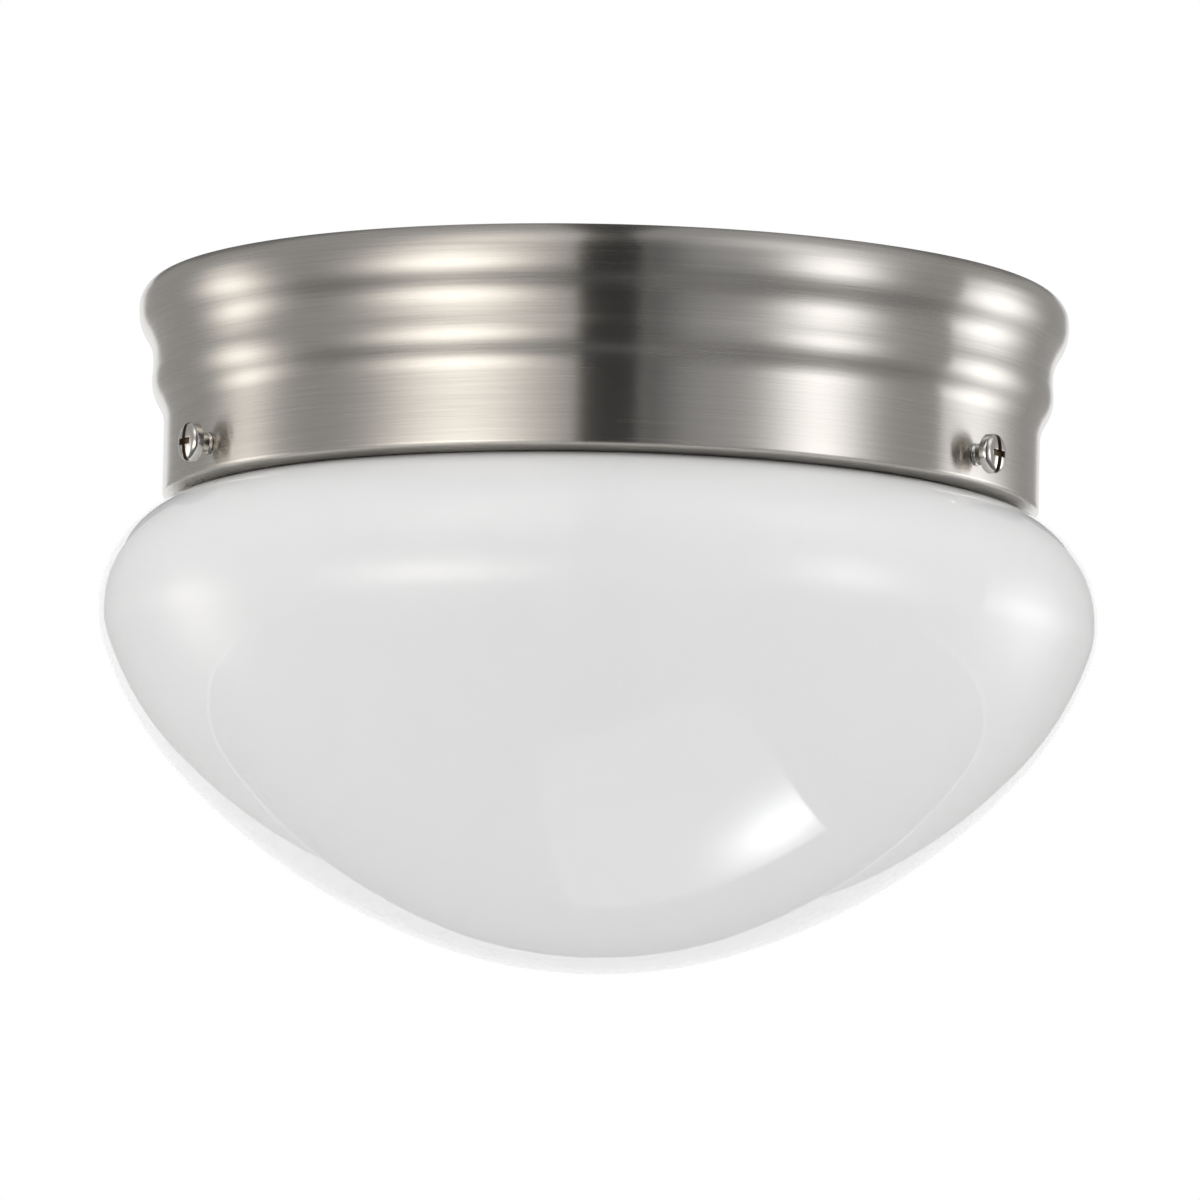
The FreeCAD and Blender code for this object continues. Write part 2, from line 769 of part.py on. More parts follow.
def crossbar():
    body = new_body("crossbar")
    plate = rectangle_outline(0, 0, size.bar_length, size.bar_width, size.bar_corner)
    holes = [slot_outline(side * size.box_screw_spacing / 2, 0, size.box_slot_length, size.box_slot_radius)
             for side in (-1, 1)]
    tapped = size.pan_screw_radius + size.fixing_clearance
    holes += [circle_outline(side * size.pan_screw_spacing / 2, 0, tapped) for side in (-1, 1)]
    holes.append(circle_outline(size.ground_screw_offset, 0, tapped))
    padded(body, "XY_Plane", size.bar_thickness, plate, *holes)
    return keep(body, at(z=-size.bar_thickness, angle=90))


def machine_screw(label, length, x, y, z):
    """A round-headed machine screw pointing up, its head's seat at the given point."""
    body = new_body(label)
    shank = size.pan_screw_radius
    head = size.pan_screw_head_radius
    height = size.pan_screw_head_height
    edge = size.screw_head_edge
    dome = height - edge
    dome_radius = (head * head + dome * dome) / (2 * dome)
    shape = Outline(0, length).line(0, -height)
    shape.arc(head, -edge, dome_radius, 1)
    shape.line(head, 0).line(shank, 0).line(shank, length - size.screw_tip_chamfer)
    shape.line(shank - size.screw_tip_chamfer, length)
    turned(body, shape)
    slot = rectangle_outline(0, 0, 2 * (head + CUT_PAST), size.screw_slot_width)
    bar = rectangle_outline(0, 0, size.screw_slot_width, size.screw_cross_length)
    for name, outline in (("slot", slot), ("cross", bar)):
        pocketed(body, "XY_Plane", size.screw_slot_depth + CUT_PAST, outline, name=name,
                 offset=size.screw_slot_depth - height)
    return keep(body, at(x, y, z))


def ground_rivet():
    """The stud on the pan that the ground wire is brazed to."""
    body = new_body("ground_stud")
    padded(body, "XY_Plane", size.ground_stud_height, circle_outline(0, 0, size.rivet_head_radius))
    return keep(body, at(size.ground_stud_x, size.ground_stud_y, web_top))


def wire_bushing():
    body = new_body("wire_bushing")
    bore = size.bushing_bore_radius
    flange = size.bushing_flange_radius
    hole = size.wire_hole_radius
    top = web_top + size.bushing_flange
    bottom = web_bottom - size.bushing_collar
    shape = Outline(bore, bottom).line(flange, bottom).line(flange, web_bottom).line(hole, web_bottom)
    shape.line(hole, web_top).line(flange, web_top).line(flange, top).line(bore, top)
    turned(body, shape)
    return keep(body)


# ---------------------------------------------------------------- lampholder on its bracket

holder_place = Placement(Vector(holder_back.value, 0, -size.holder_back_depth.value),
                         Rotation(Y_AXIS, 90 + size.lamp_tilt.value))


def bracket_rise():
    """Distance up the bracket's flange from the lamp axis to the underside of the web."""
    return (size.holder_back_depth + web_bottom) / cos(size.lamp_tilt)


def lampholder_bracket():
    body = new_body("lampholder_bracket")
    rise = bracket_rise()
    corner = holder_back + rise * sin(size.lamp_tilt)
    foot_end = holder_back - size.bracket_foot
    outer = size.bracket_bend + size.bracket_thickness
    turn = 90 + size.lamp_tilt
    tangent = outer * tan(turn / 2)
    strip = Strip(foot_end, web_bottom, 0, size.bracket_thickness)
    strip.line(corner - foot_end - tangent).arc(outer, -turn)
    strip.line(rise - tangent + size.bracket_reach)
    padded(body, "XZ_Plane", size.bracket_width, strip.outline(), midplane=True)
    rivets = [circle_outline(rivet_row, side * size.rivet_spacing / 2,
                             size.rivet_radius + size.fixing_clearance) for side in (-1, 1)]
    pocketed(body, "XY_Plane", 2 * size.bracket_thickness, *rivets, name="rivet_holes",
             offset=web_bottom + size.bracket_thickness / 2)
    doc.recompute()
    bore = body.newObject("PartDesign::SubtractiveCylinder", "lampholder_bracket_eyelet_bore")
    bore.setExpression("Radius", (size.eyelet_radius + size.fixing_clearance).text)
    bore.setExpression("Height", (4 * size.bracket_thickness).text)
    bore.Placement = holder_place.multiply(at(z=-2 * size.bracket_thickness))
    return keep(body)


def bracket_rivet(number, side):
    body = new_body(f"bracket_rivet_{number}")
    shank = size.rivet_radius
    head = size.rivet_head_radius
    top = web_top
    bottom = web_bottom - size.bracket_thickness
    shape = Outline(0, bottom - size.rivet_head).line(shank, bottom - size.rivet_head)
    shape.line(head, bottom).line(shank, bottom).line(shank, top).line(head, top)
    shape.line(shank, top + size.rivet_head).line(0, top + size.rivet_head)
    turned(body, shape)
    return keep(body, at(rivet_row, side * size.rivet_spacing / 2))


shell_inner = size.cap_root_radius + size.thread_gap
contact_top = size.holder_floor + 2 * size.contact_wall + 2 * size.contact_bend
bulb_seat = worked_out("bulb_seat", contact_top + size.bulb_seat_gap)


def thread_turns():
    """Whole turns of thread between its start and the mouth of the cap."""
    room = size.cap_mouth.value - size.thread_start.value - size.thread_end_gap.value
    return max(int(room / size.thread_pitch.value), 1)


def lampholder_body():
    body = new_body("lampholder_body")
    edge = size.holder_edge
    back = size.holder_back_radius
    front = size.holder_front_radius
    step = size.holder_step_length
    bore = size.holder_bore_radius + size.thread_gap
    tall = size.holder_length
    shape = Outline(0, 0).line(back - edge, 0).arc(back, edge, edge, 1).line(back, step)
    shape.line(front, step + size.holder_step_slope).line(front, tall - edge)
    shape.arc(front - edge, tall, edge, 1).line(bore + edge, tall).arc(bore, tall - edge, edge, 1)
    shape.line(bore, size.holder_floor).line(0, size.holder_floor)
    turned(body, shape)
    eyelet = circle_outline(0, 0, size.eyelet_radius + size.fixing_clearance)
    pocketed(body, "XY_Plane", size.holder_floor + CUT_PAST, eyelet, name="eyelet_bore", reverse=True)
    # blind holes for the two leads, in from the side of the back section
    doc.recompute()
    for number, side in ((1, -1), (2, 1)):
        bore = body.newObject("PartDesign::SubtractiveCylinder", f"lampholder_body_lead_hole_{number}")
        bore.setExpression("Radius", (size.lead_radius + size.fixing_clearance).text)
        bore.setExpression("Height", size.holder_back_radius.text)
        bore.Placement = Placement(lead_hole(side), Rotation(Y_AXIS, -90))
        doc.recompute()
    return keep(body, holder_place)


def lead_exit():
    """Distance of the holder's side face from the lamp axis where a lead leaves it."""
    back = size.holder_back_radius
    side = size.lead_exit_side
    return root(back * back - side * side)


def lead_hole(side):
    """Bottom of a lead's hole, in the holder's own frame, where -X is up."""
    inner = lead_exit() - size.lead_hole_depth
    return Vector(-inner.value, side * size.lead_exit_side.value, size.holder_step_length.value / 2)


def rolled_thread(body, radius, start, wall):
    """Rings of thread rolled into a sheet, from the root radius and height of its drawn face."""
    ring = Strip(radius, start, 90, wall)
    ring.s_curve(size.thread_depth, size.thread_pitch / 2, -1)
    ring.s_curve(size.thread_depth, size.thread_pitch / 2, 1)
    feature = turned(body, ring.outline(), "ring")
    pattern = body.newObject("PartDesign::LinearPattern", f"{body.Name}_thread")
    pattern.Originals = [feature]
    pattern.Direction = (axis_of(body), [""])
    pattern.Occurrences = thread_turns()
    pattern.setExpression("Length", (size.thread_pitch * (thread_turns() - 1)).text)
    body.Tip = pattern


def lampholder_shell():
    body = new_body("lampholder_shell")
    bend = size.cap_wall + size.shell_wall
    floor = size.holder_floor + size.shell_wall
    thread_base = bulb_seat + size.thread_start
    strip = Strip(size.shell_base_radius, floor, 0, size.shell_wall)
    strip.line(shell_inner - size.shell_base_radius - bend).arc(bend, 90)
    strip.line(thread_base - floor - bend)
    turned(body, strip.outline(), "cup")
    rolled_thread(body, shell_inner, thread_base, size.shell_wall)
    mouth = Strip(shell_inner, thread_base + size.thread_pitch * thread_turns(), 90, size.shell_wall)
    mouth.s_curve(size.shell_flare, size.thread_pitch / 2, -1).line(size.shell_mouth)
    turned(body, mouth.outline(), "mouth")
    return keep(body, holder_place)


def lampholder_eyelet():
    """The rivet that holds bracket, porcelain and centre contact together."""
    body = new_body("lampholder_eyelet")
    shank = size.eyelet_radius
    head = size.eyelet_head_radius
    back = -size.bracket_thickness
    front = size.holder_floor + size.contact_wall
    curl = size.eyelet_curl_radius
    shape = Outline(0, back - size.eyelet_head).line(shank, back - size.eyelet_head)
    shape.line(head, back).line(shank, back).line(shank, front).line(curl, front)
    shape.line(shank, front + size.eyelet_head).line(0, front + size.eyelet_head)
    turned(body, shape)
    return keep(body, holder_place)


def center_contact():
    body = new_body("center_contact")
    foot = size.contact_foot
    strip = Strip(-foot, size.holder_floor + size.contact_wall, 0, size.contact_wall)
    strip.line(2 * foot).arc(size.contact_bend, 90).arc(size.contact_bend, 90)
    strip.line(size.contact_tongue)
    padded(body, "XZ_Plane", size.contact_width, strip.outline(), midplane=True)
    hole = circle_outline(0, 0, size.eyelet_radius + size.fixing_clearance)
    pocketed(body, "XY_Plane", 2 * size.contact_wall, hole, name="eyelet_hole",
             offset=size.holder_floor - size.contact_wall / 2, reverse=True)
    return keep(body, holder_place)


# ---------------------------------------------------------------- bulb

bulb_place = holder_place.multiply(at(z=bulb_seat))


def bulb_envelope():
    body = new_body("bulb_envelope")
    neck = size.bulb_neck_radius
    sweep = size.bulb_neck_sweep
    ball = size.bulb_radius
    turn = arccos((neck + sweep) / (sweep + ball))
    centre = size.bulb_length - ball
    start = size.cap_mouth - size.cap_grip
    straight = centre - (sweep + ball) * sin(turn) - start
    strip = Strip(neck, start, 90, -size.bulb_wall)
    strip.line(straight).arc(sweep, -turn).arc(ball, 90 + turn)
    turned(body, strip.outline())
    return keep(body, bulb_place)


def bulb_cap():
    body = new_body("bulb_cap")
    root_radius = size.cap_root_radius
    slope = arctan((size.thread_start - size.cap_edge - size.insulator_height)
                   / (root_radius - size.cap_base_radius))
    length = (root_radius - size.cap_base_radius) / cos(slope)
    strip = Strip(size.cap_base_radius, size.insulator_height, slope, -size.cap_wall)
    bend = size.cap_fillet * tan((90 - slope) / 2)
    strip.line(length - bend).arc(size.cap_fillet, 90 - slope)
    strip.line(size.cap_edge - bend)
    turned(body, strip.outline(), "base")
    rolled_thread(body, root_radius, size.thread_start, -size.cap_wall)
    thread_end = size.thread_start + size.thread_pitch * thread_turns()
    mouth = Strip(root_radius, thread_end, 90, -size.cap_wall)
    mouth_step = size.bulb_neck_radius + size.cap_wall - root_radius
    mouth.s_curve(mouth_step, size.cap_mouth - size.cap_grip - thread_end, -1).line(size.cap_grip)
    turned(body, mouth.outline(), "mouth")
    return keep(body, bulb_place)


def bulb_insulator():
    body = new_body("bulb_insulator")
    button = size.button_radius
    base = size.cap_base_radius
    low = size.button_height
    high = size.insulator_height
    shape = Outline(0, low).line(button, low).line(base, high).line(0, high)
    turned(body, shape)
    return keep(body, bulb_place)


def bulb_button():
    body = new_body("bulb_contact")
    radius = size.button_radius
    height = size.button_height
    dome = (radius * radius + height * height) / (2 * height)
    shape = Outline(0, 0).arc(radius, height, dome, 1).line(0, height)
    turned(body, shape)
    return keep(body, bulb_place)


# ---------------------------------------------------------------- wires

def tangent_path(points):
    """Straight runs joined by tangent arcs, as large as their runs allow, and their radii."""
    edges = []
    radii = []
    here = points[0]
    for index in range(1, len(points) - 1):
        before = points[index] - points[index - 1]
        after = points[index + 1] - points[index]
        turn = before.getAngle(after)
        radius = 0.45 * min(before.Length, after.Length) / math.tan(turn / 2)
        cut = radius * math.tan(turn / 2)
        enter = points[index] - before.normalize() * cut
        leave = points[index] + after.normalize() * cut
        inward = (after - before).normalize()
        centre = points[index] + inward * (radius / math.cos(turn / 2))
        middle = centre - inward * radius
        edges.append(Part.LineSegment(here, enter).toShape())
        edges.append(Part.Arc(enter, middle, leave).toShape())
        here = leave
        radii.append(radius)
    edges.append(Part.LineSegment(here, points[-1]).toShape())
    return Part.Wire(edges), radii


def point(x, y, z):
    return Vector(x.value, y.value, z.value)


def wire_solid(label, points, radius):
    path, radii = tangent_path(points)
    start = points[0]
    direction = (points[1] - points[0]).normalize()
    ring = Part.Wire(Part.makeCircle(radius, start, direction))
    solid = path.makePipeShell([ring], True, False)
    ratio = solid.Volume / (math.pi * radius ** 2 * path.Length)
    print(f"{label}: length {path.Length:.1f} mm, least bend {min(radii):.1f} mm, volume ratio {ratio:.4f}")
    return solid


def lead(label, side):
    """A lampholder lead: up from the porcelain, through the bushing and round the recess."""
    radius = size.lead_radius.value
    bottom = holder_place.multVec(lead_hole(side))
    rise = holder_place.Rotation.multVec(Vector(-1, 0, 0))
    ring = size.lead_ring_radius.value
    lying = (web_top + size.lead_radius + size.lead_lift).value
    route = [bottom, bottom + rise * size.lead_rise.value,
             point(size.lead_slack_x, side * size.lead_slack_y, web_top - size.lead_slack_drop),
             point(size.lead_entry_x, side * size.lead_entry_y, web_top - size.lead_entry_drop),
             point(size.lead_over_x, side * size.lead_over_y, web_top + size.lead_over_rise),
             point(size.lead_fan_x, side * size.lead_fan_y, web_top + size.lead_fan_rise)]
    for angle in LEAD_TURNS:
        turn = math.radians(angle)
        route.append(Vector(ring * math.cos(turn), side * ring * math.sin(turn), lying))
    solid = wire_solid(label, route, radius)
    heading = (route[-1] - route[-2]).normalize()
    core = Part.makeCylinder(size.core_radius.value, size.core_length.value, route[-1], heading)
    item = doc.addObject("Part::Feature", label)
    item.Label = label
    item.Shape = solid.fuse(core).removeSplitter()
    return keep(item)


def ground_wire():
    """Bare copper from the stud on the web to the ground screw in the crossbar."""
    radius = size.ground_wire_radius
    lying = web_top + radius + size.ground_lift
    screw_y = size.ground_screw_offset
    under_bar = -size.bar_thickness - radius
    route = [point(size.ground_stud_x + size.rivet_head_radius, size.ground_stud_y, lying),
             point(size.ground_stud_x + size.ground_run, size.ground_stud_y, lying),
             point(size.ground_corner_x, size.ground_corner_y, lying + 5 * size.ground_lift),
             point(size.ground_corner_x, screw_y + size.ground_rise_y, web_top + size.ground_rise),
             point(size.ground_hook_x, screw_y + size.ground_hook_y, under_bar),
             point(-size.pan_screw_radius - radius, screw_y + size.ground_end_y, under_bar)]
    item = doc.addObject("Part::Feature", "ground_wire")
    item.Label = "ground_wire"
    item.Shape = wire_solid("ground_wire", route, radius.value)
    return keep(item)


# ---------------------------------------------------------------- assembly

def assemble():
    canopy_pan()
    glass_shade()
    for number, angle in enumerate(screw_angles(), start=1):
        thumb_screw(number, angle)
        thumb_screw_nut(number, angle)
    insulation_pad()
    crossbar()
    pan_screw_length = -web_bottom - size.pan_screw_end_gap
    for number, side in ((1, -1), (2, 1)):
        machine_screw(f"pan_screw_{number}", pan_screw_length, 0, side * size.pan_screw_spacing / 2, web_bottom)
    wire_diameter = 2 * size.ground_wire_radius
    ground_seat = -size.bar_thickness - wire_diameter
    machine_screw("ground_screw", size.bar_thickness + wire_diameter - size.pan_screw_end_gap,
                  0, size.ground_screw_offset, ground_seat)
    ground_rivet()
    ground_wire()
    wire_bushing()
    lampholder_bracket()
    for number, side in ((1, -1), (2, 1)):
        bracket_rivet(number, side)
    lampholder_body()
    lampholder_shell()
    lampholder_eyelet()
    center_contact()
    bulb_envelope()
    bulb_cap()
    bulb_insulator()
    bulb_button()
    lead("lead_black", -1)
    lead("lead_white", 1)


def check():
    for item in doc.Objects:
        if "Invalid" in item.State or "Error" in item.State:
            raise RuntimeError(f"{item.Name} failed: {item.State}")
    for item in nodes:
        if item.Shape.isNull() or not item.Shape.isValid():
            raise RuntimeError(f"{item.Label} has no valid shape")
        print(f"{item.Label}: {len(item.Shape.Solids)} solid, {item.Shape.Volume:.1f} mm3")


def write():
    os.makedirs("parts", exist_ok=True)
    for item in nodes:
        item.Shape.exportStep(f"parts/{item.Label}.step")


assemble()
doc.recompute()
check()
write()
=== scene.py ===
# %% [markdown]
# # A flush mount ceiling light
# The light hangs from the ceiling: a brushed nickel pan, a glossy opal glass held under its lip by
# three small screws, and a bulb lying in a porcelain lampholder inside. The CAD model is loaded
# first as a fixed frame. It gives every piece its place, and the lesson builds the finer pieces and
# all the finishes on it. Everything is in metres, with +Z up and the photographed side facing -Y.

import json
import math

import bpy
from mathutils import Matrix, Vector

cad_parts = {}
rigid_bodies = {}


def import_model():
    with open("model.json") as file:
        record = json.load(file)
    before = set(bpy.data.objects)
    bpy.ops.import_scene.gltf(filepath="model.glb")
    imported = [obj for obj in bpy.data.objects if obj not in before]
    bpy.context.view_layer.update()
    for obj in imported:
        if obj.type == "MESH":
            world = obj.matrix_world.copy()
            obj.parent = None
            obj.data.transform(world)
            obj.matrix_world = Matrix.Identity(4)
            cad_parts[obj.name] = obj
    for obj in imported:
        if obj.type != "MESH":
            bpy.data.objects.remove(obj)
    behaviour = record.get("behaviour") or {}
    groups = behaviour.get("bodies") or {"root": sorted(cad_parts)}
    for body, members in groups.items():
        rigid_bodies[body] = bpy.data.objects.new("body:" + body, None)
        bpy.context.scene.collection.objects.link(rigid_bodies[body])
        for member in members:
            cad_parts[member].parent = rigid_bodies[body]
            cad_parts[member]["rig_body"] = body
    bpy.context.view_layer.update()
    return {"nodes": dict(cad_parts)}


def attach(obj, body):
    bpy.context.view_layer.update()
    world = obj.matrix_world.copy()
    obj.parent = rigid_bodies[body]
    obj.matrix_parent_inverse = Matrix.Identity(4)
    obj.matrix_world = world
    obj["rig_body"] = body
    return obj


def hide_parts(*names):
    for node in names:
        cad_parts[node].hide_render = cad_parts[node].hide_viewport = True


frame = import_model()
nodes = frame["nodes"]
MM = 0.001

# %% [markdown]
# ## Hand tools
# Every step starts with nothing selected, because an operator acts on all that is. A few small
# helpers select, add, edit and apply, so that the cells below read like the work at the bench.


# %% Selecting and adding
def deselect():
    bpy.ops.object.select_all(action="DESELECT")


def select_only(*pieces):
    """Leave just these pieces selected, the first one active."""
    deselect()
    for piece in pieces:
        piece.select_set(True)
    bpy.context.view_layer.objects.active = pieces[0]


def settle():
    """Put the selected piece's place, turn and scale into its mesh. Its object is then at the origin."""
    bpy.ops.object.transform_apply(location=True, rotation=True, scale=True)


def new_plane(name, place, size=1):
    deselect()
    bpy.ops.mesh.primitive_plane_add(size=size, location=place)
    made = bpy.context.object
    made.name = made.data.name = name
    return made


def one_point(name, place):
    """A mesh of one selected vertex at this place, left open in edit mode."""
    made = new_plane(name, (0, 0, 0), MM)
    bpy.ops.object.mode_set(mode="EDIT")
    bpy.ops.mesh.select_mode(type="VERT")
    bpy.ops.mesh.select_all(action="SELECT")
    bpy.ops.mesh.merge(type="CENTER")
    bpy.ops.transform.translate(value=place)
    return made


def leave_edit():
    bpy.ops.object.mode_set(mode="OBJECT")


# %% Finishing and measuring
SHARP = 60


def apply_modifier(piece, kind, **settings):
    """Add one modifier with its settings and apply it at once."""
    select_only(piece)
    modifier = piece.modifiers.new(kind.title(), kind)
    for name, value in settings.items():
        setattr(modifier, name, value)
    bpy.ops.object.modifier_apply(modifier=modifier.name)


def soften(piece, width, segments, angle=SHARP):
    """Bevel the edges that are sharper than an angle."""
    apply_modifier(piece, "BEVEL", width=width * MM, segments=segments, limit_method="ANGLE",
                   angle_limit=math.radians(angle))


def thicken(piece, wall):
    """Give a spun sheet its wall, inwards from the face that was drawn."""
    apply_modifier(piece, "SOLIDIFY", thickness=wall * MM, offset=-1, use_even_offset=True)


def smooth(piece, angle):
    select_only(piece)
    bpy.ops.object.shade_smooth_by_angle(angle=math.radians(angle))


def triangles(piece):
    return sum(len(face.vertices) - 2 for face in piece.data.polygons)


def report(piece):
    print(f"{piece.name}: {len(piece.data.vertices)} vertices, {triangles(piece)} triangles")


# %% [markdown]
# ## The template pen
# Most of this light is turned work: a line is drawn as on a lathe template and spun round the
# middle. A template could be traced with a curve, but straight runs and tangent arcs are how a
# spinner's template is really laid out, so a small pen is used. It stands on a point, knows its
# heading, and extrudes the selected vertex as it goes. It takes millimetres and degrees.

# %% The template pen
ARC_STEP = 5.0
S_CURVE_CHORDS = 5
WELD = 0.002


class Pen:
    """Draws a template in the XZ plane: x is the radius from the middle, z is the height."""

    def __init__(self, name, radius, height, heading):
        self.piece = one_point(name, (radius * MM, 0, height * MM))
        self.heading = heading
        self.x, self.z = radius, height

    def step(self, dx, dz):
        bpy.ops.mesh.extrude_region_move(TRANSFORM_OT_translate={"value": (dx * MM, 0, dz * MM)})
        self.x += dx
        self.z += dz

    def line(self, length, parts=1):
        turn = math.radians(self.heading)
        for _ in range(parts):
            self.step(length / parts * math.cos(turn), length / parts * math.sin(turn))
        return self

    def to(self, x, z):
        self.step(x - self.x, z - self.z)
        return self

    def arc(self, radius, turn, step=ARC_STEP):
        """A tangent arc in chords of a few degrees; a positive turn is to the left."""
        side = 1 if turn > 0 else -1
        parts = max(2, math.ceil(abs(turn) / step))
        for _ in range(parts):
            before = math.radians(self.heading)
            self.heading += turn / parts
            after = math.radians(self.heading)
            self.step(side * radius * (math.sin(after) - math.sin(before)),
                      -side * radius * (math.cos(after) - math.cos(before)))
        return self

    def s_curve(self, across, length, side):
        """Move sideways by two equal arcs, and end with the heading of the start."""
        turn = 2 * math.degrees(math.atan(across / length))
        radius = length / (2 * math.sin(math.radians(turn)))
        step = turn / S_CURVE_CHORDS
        return self.arc(radius, side * turn, step).arc(radius, -side * turn, step)

    def spin(self, steps):
        """Turn the template once round Z, close its seam and point its faces outwards."""
        bpy.ops.mesh.select_all(action="SELECT")
        bpy.ops.mesh.spin(steps=steps, angle=2 * math.pi, center=(0, 0, 0), axis=(0, 0, 1))
        bpy.ops.mesh.select_all(action="SELECT")
        bpy.ops.mesh.remove_doubles(threshold=WELD * MM)
        bpy.ops.mesh.normals_make_consistent(inside=False)
        leave_edit()
        return self.piece


# %% [markdown]
# ## The pan
# The real pan is one disc of thin steel, spun over a former: a flat rim against the ceiling, a round
# shoulder, a soft waist, a low bead, and a straight skirt whose lower edge rolls inwards and falls a
# few degrees towards the glass. It could be lofted from rings, but the spin of one template gives
# the same clean rings as the lathe does. The sheet is drawn as its outer face from the wire hole
# outwards and gets its wall afterwards.

# %% Draw and spin the pan
PAN_WALL = 0.7
PAN_DEPTH = 41.85
WIRE_HOLE_RADIUS = 9.0
WEB_DEPTH = 6.0
RECESS_RADIUS = 79.0
RECESS_BEND = 1.2
RECESS_STEP = 15
RIM_RADIUS = 88.8
RIM_SHOULDER = 5.0
RIM_SIDE = 0.9
WAIST_HEIGHT = 1.2
SKIRT_RADIUS = 83.6
# how far the wall moves across, and over what height
RIM_TO_WAIST = (2.9, 9.4)
WAIST_TO_BEAD = (0.16, 2.8)
BEAD_TO_SKIRT = (2.46, 8.2)
INWARDS, OUTWARDS = -1, 1
LIP_ROLL = 1.0
LIP_STEP = 8.5
LIP_OPENING = 78.87
LIP_TILT = 7.0
LIP_DROOP = 0.13

pen = Pen("nickel_pan", WIRE_HOLE_RADIUS, -WEB_DEPTH, heading=0)
pen.line(RECESS_RADIUS - WIRE_HOLE_RADIUS - RECESS_BEND, parts=6).arc(RECESS_BEND, 90, RECESS_STEP)
pen.line(WEB_DEPTH - 2 * RECESS_BEND - PAN_WALL).arc(RECESS_BEND + PAN_WALL, -90, RECESS_STEP)
pen.line(RIM_RADIUS - RIM_SHOULDER - RECESS_RADIUS - RECESS_BEND - PAN_WALL)
pen.arc(RIM_SHOULDER, -90).line(RIM_SIDE).s_curve(*RIM_TO_WAIST, INWARDS).line(WAIST_HEIGHT)
pen.s_curve(*WAIST_TO_BEAD, OUTWARDS).s_curve(*BEAD_TO_SKIRT, INWARDS)
lip_tilt = math.radians(LIP_TILT)
lip_width = SKIRT_RADIUS - LIP_ROLL * (1 - math.sin(lip_tilt)) - LIP_OPENING
lip_fall = LIP_ROLL * math.cos(lip_tilt) + lip_width * math.tan(lip_tilt)
pen.line(PAN_DEPTH + LIP_DROOP - lip_fall + pen.z, parts=4)
pen.arc(LIP_ROLL, LIP_TILT - 90, LIP_STEP).line(lip_width / math.cos(lip_tilt))
pan = pen.spin(steps=200)
thicken(pan, PAN_WALL)
soften(pan, width=0.2, segments=2)
report(pan)

# %% [markdown]
# The pan has holes for the three shade screws, the bracket's two rivets and the two keyholes that
# drop over the ceiling screws. They are drilled as a fitter would, by cutters that a Boolean takes
# away, so their walls show the real thickness of the sheet.


# %% Cutters
def drill(radius, depth, place, direction=(0, 0, 1)):
    """A round cutter that runs along a direction, its middle at the given place."""
    deselect()
    bpy.ops.mesh.primitive_cylinder_add(vertices=48, radius=radius * MM, depth=depth * MM,
                                        location=Vector(place) * MM)
    cutter = bpy.context.object
    cutter.rotation_euler = Vector(direction).to_track_quat("Z", "Y").to_euler()
    settle()
    return cutter


def block(middle, sizes, turn=0.0):
    """A square cutter, turned round Z."""
    deselect()
    bpy.ops.mesh.primitive_cube_add(size=1, location=Vector(middle) * MM)
    cutter = bpy.context.object
    cutter.scale = Vector(sizes) * MM
    cutter.rotation_euler = (0, 0, turn)
    settle()
    return cutter


def cut_away(piece, cutters):
    """Join the cutters and take them off a piece."""
    select_only(*cutters)
    if len(cutters) > 1:
        bpy.ops.object.join()
    cutter = cutters[0]
    apply_modifier(piece, "BOOLEAN", object=cutter, operation="DIFFERENCE", solver="EXACT",
                   use_self=True)
    bpy.data.objects.remove(cutter)


def around(angle, radius, height):
    """A point on a ring round the lamp."""
    turn = math.radians(angle)
    return (radius * math.cos(turn), radius * math.sin(turn), height)


# %% Drill the pan
CUT = 3.0
SCREW_DIRECTIONS = (-152.5, -32.5, 87.5)
SCREW_DEPTH = 36.3
SCREW_HOLE_RADIUS = 2.15
SCREW_HOLE_CUT = 10
SCREW_HOLE_RING = 83.0
RIVET_HOLE_RADIUS = 1.65
RIVET_X, RIVET_Y = -57.8, 4.2
KEYHOLE_RING = 25.0
KEYHOLE_ANGLE = 18.0
KEYHOLE_SEAT = 2.5
KEYHOLE_ENTRY = 4.8


def keyhole_cutters(side):
    """A slot from the ceiling screw's seat to the wide entry, along the pan's turn."""
    turn = math.radians(KEYHOLE_ANGLE)
    reach = side * KEYHOLE_RING
    seat = Vector((0, reach, -WEB_DEPTH))
    entry = Vector((reach * math.sin(turn), reach * math.cos(turn), -WEB_DEPTH))
    run = entry - seat
    slot = block((seat + entry) / 2, (run.length, 2 * KEYHOLE_SEAT, CUT), math.atan2(run.y, run.x))
    return [slot, drill(KEYHOLE_SEAT, CUT, seat), drill(KEYHOLE_ENTRY, CUT, entry)]


cutters = [drill(SCREW_HOLE_RADIUS, SCREW_HOLE_CUT, around(angle, SCREW_HOLE_RING, -SCREW_DEPTH),
                 around(angle, 1, 0)) for angle in SCREW_DIRECTIONS]
cutters += [drill(RIVET_HOLE_RADIUS, CUT, (RIVET_X, side * RIVET_Y, -WEB_DEPTH)) for side in (-1, 1)]
for side in (-1, 1):
    cutters += keyhole_cutters(side)
cut_away(pan, cutters)
smooth(pan, 30)
report(pan)
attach(pan, "canopy")
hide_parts("canopy_pan")

# %% [markdown]
# ## The glass
# The shade is blown opal glass, 3 mm thick: a flared lip to hang by, a short neck, a flat shoulder
# and a deep bowl made of a few broad curves. It is spun like the pan. Its wall goes inwards from the
# drawn face, and the cut edge of the lip is fire-polished round, which a small bevel gives. The foot
# of the lip stays just above the screws that it hangs on.

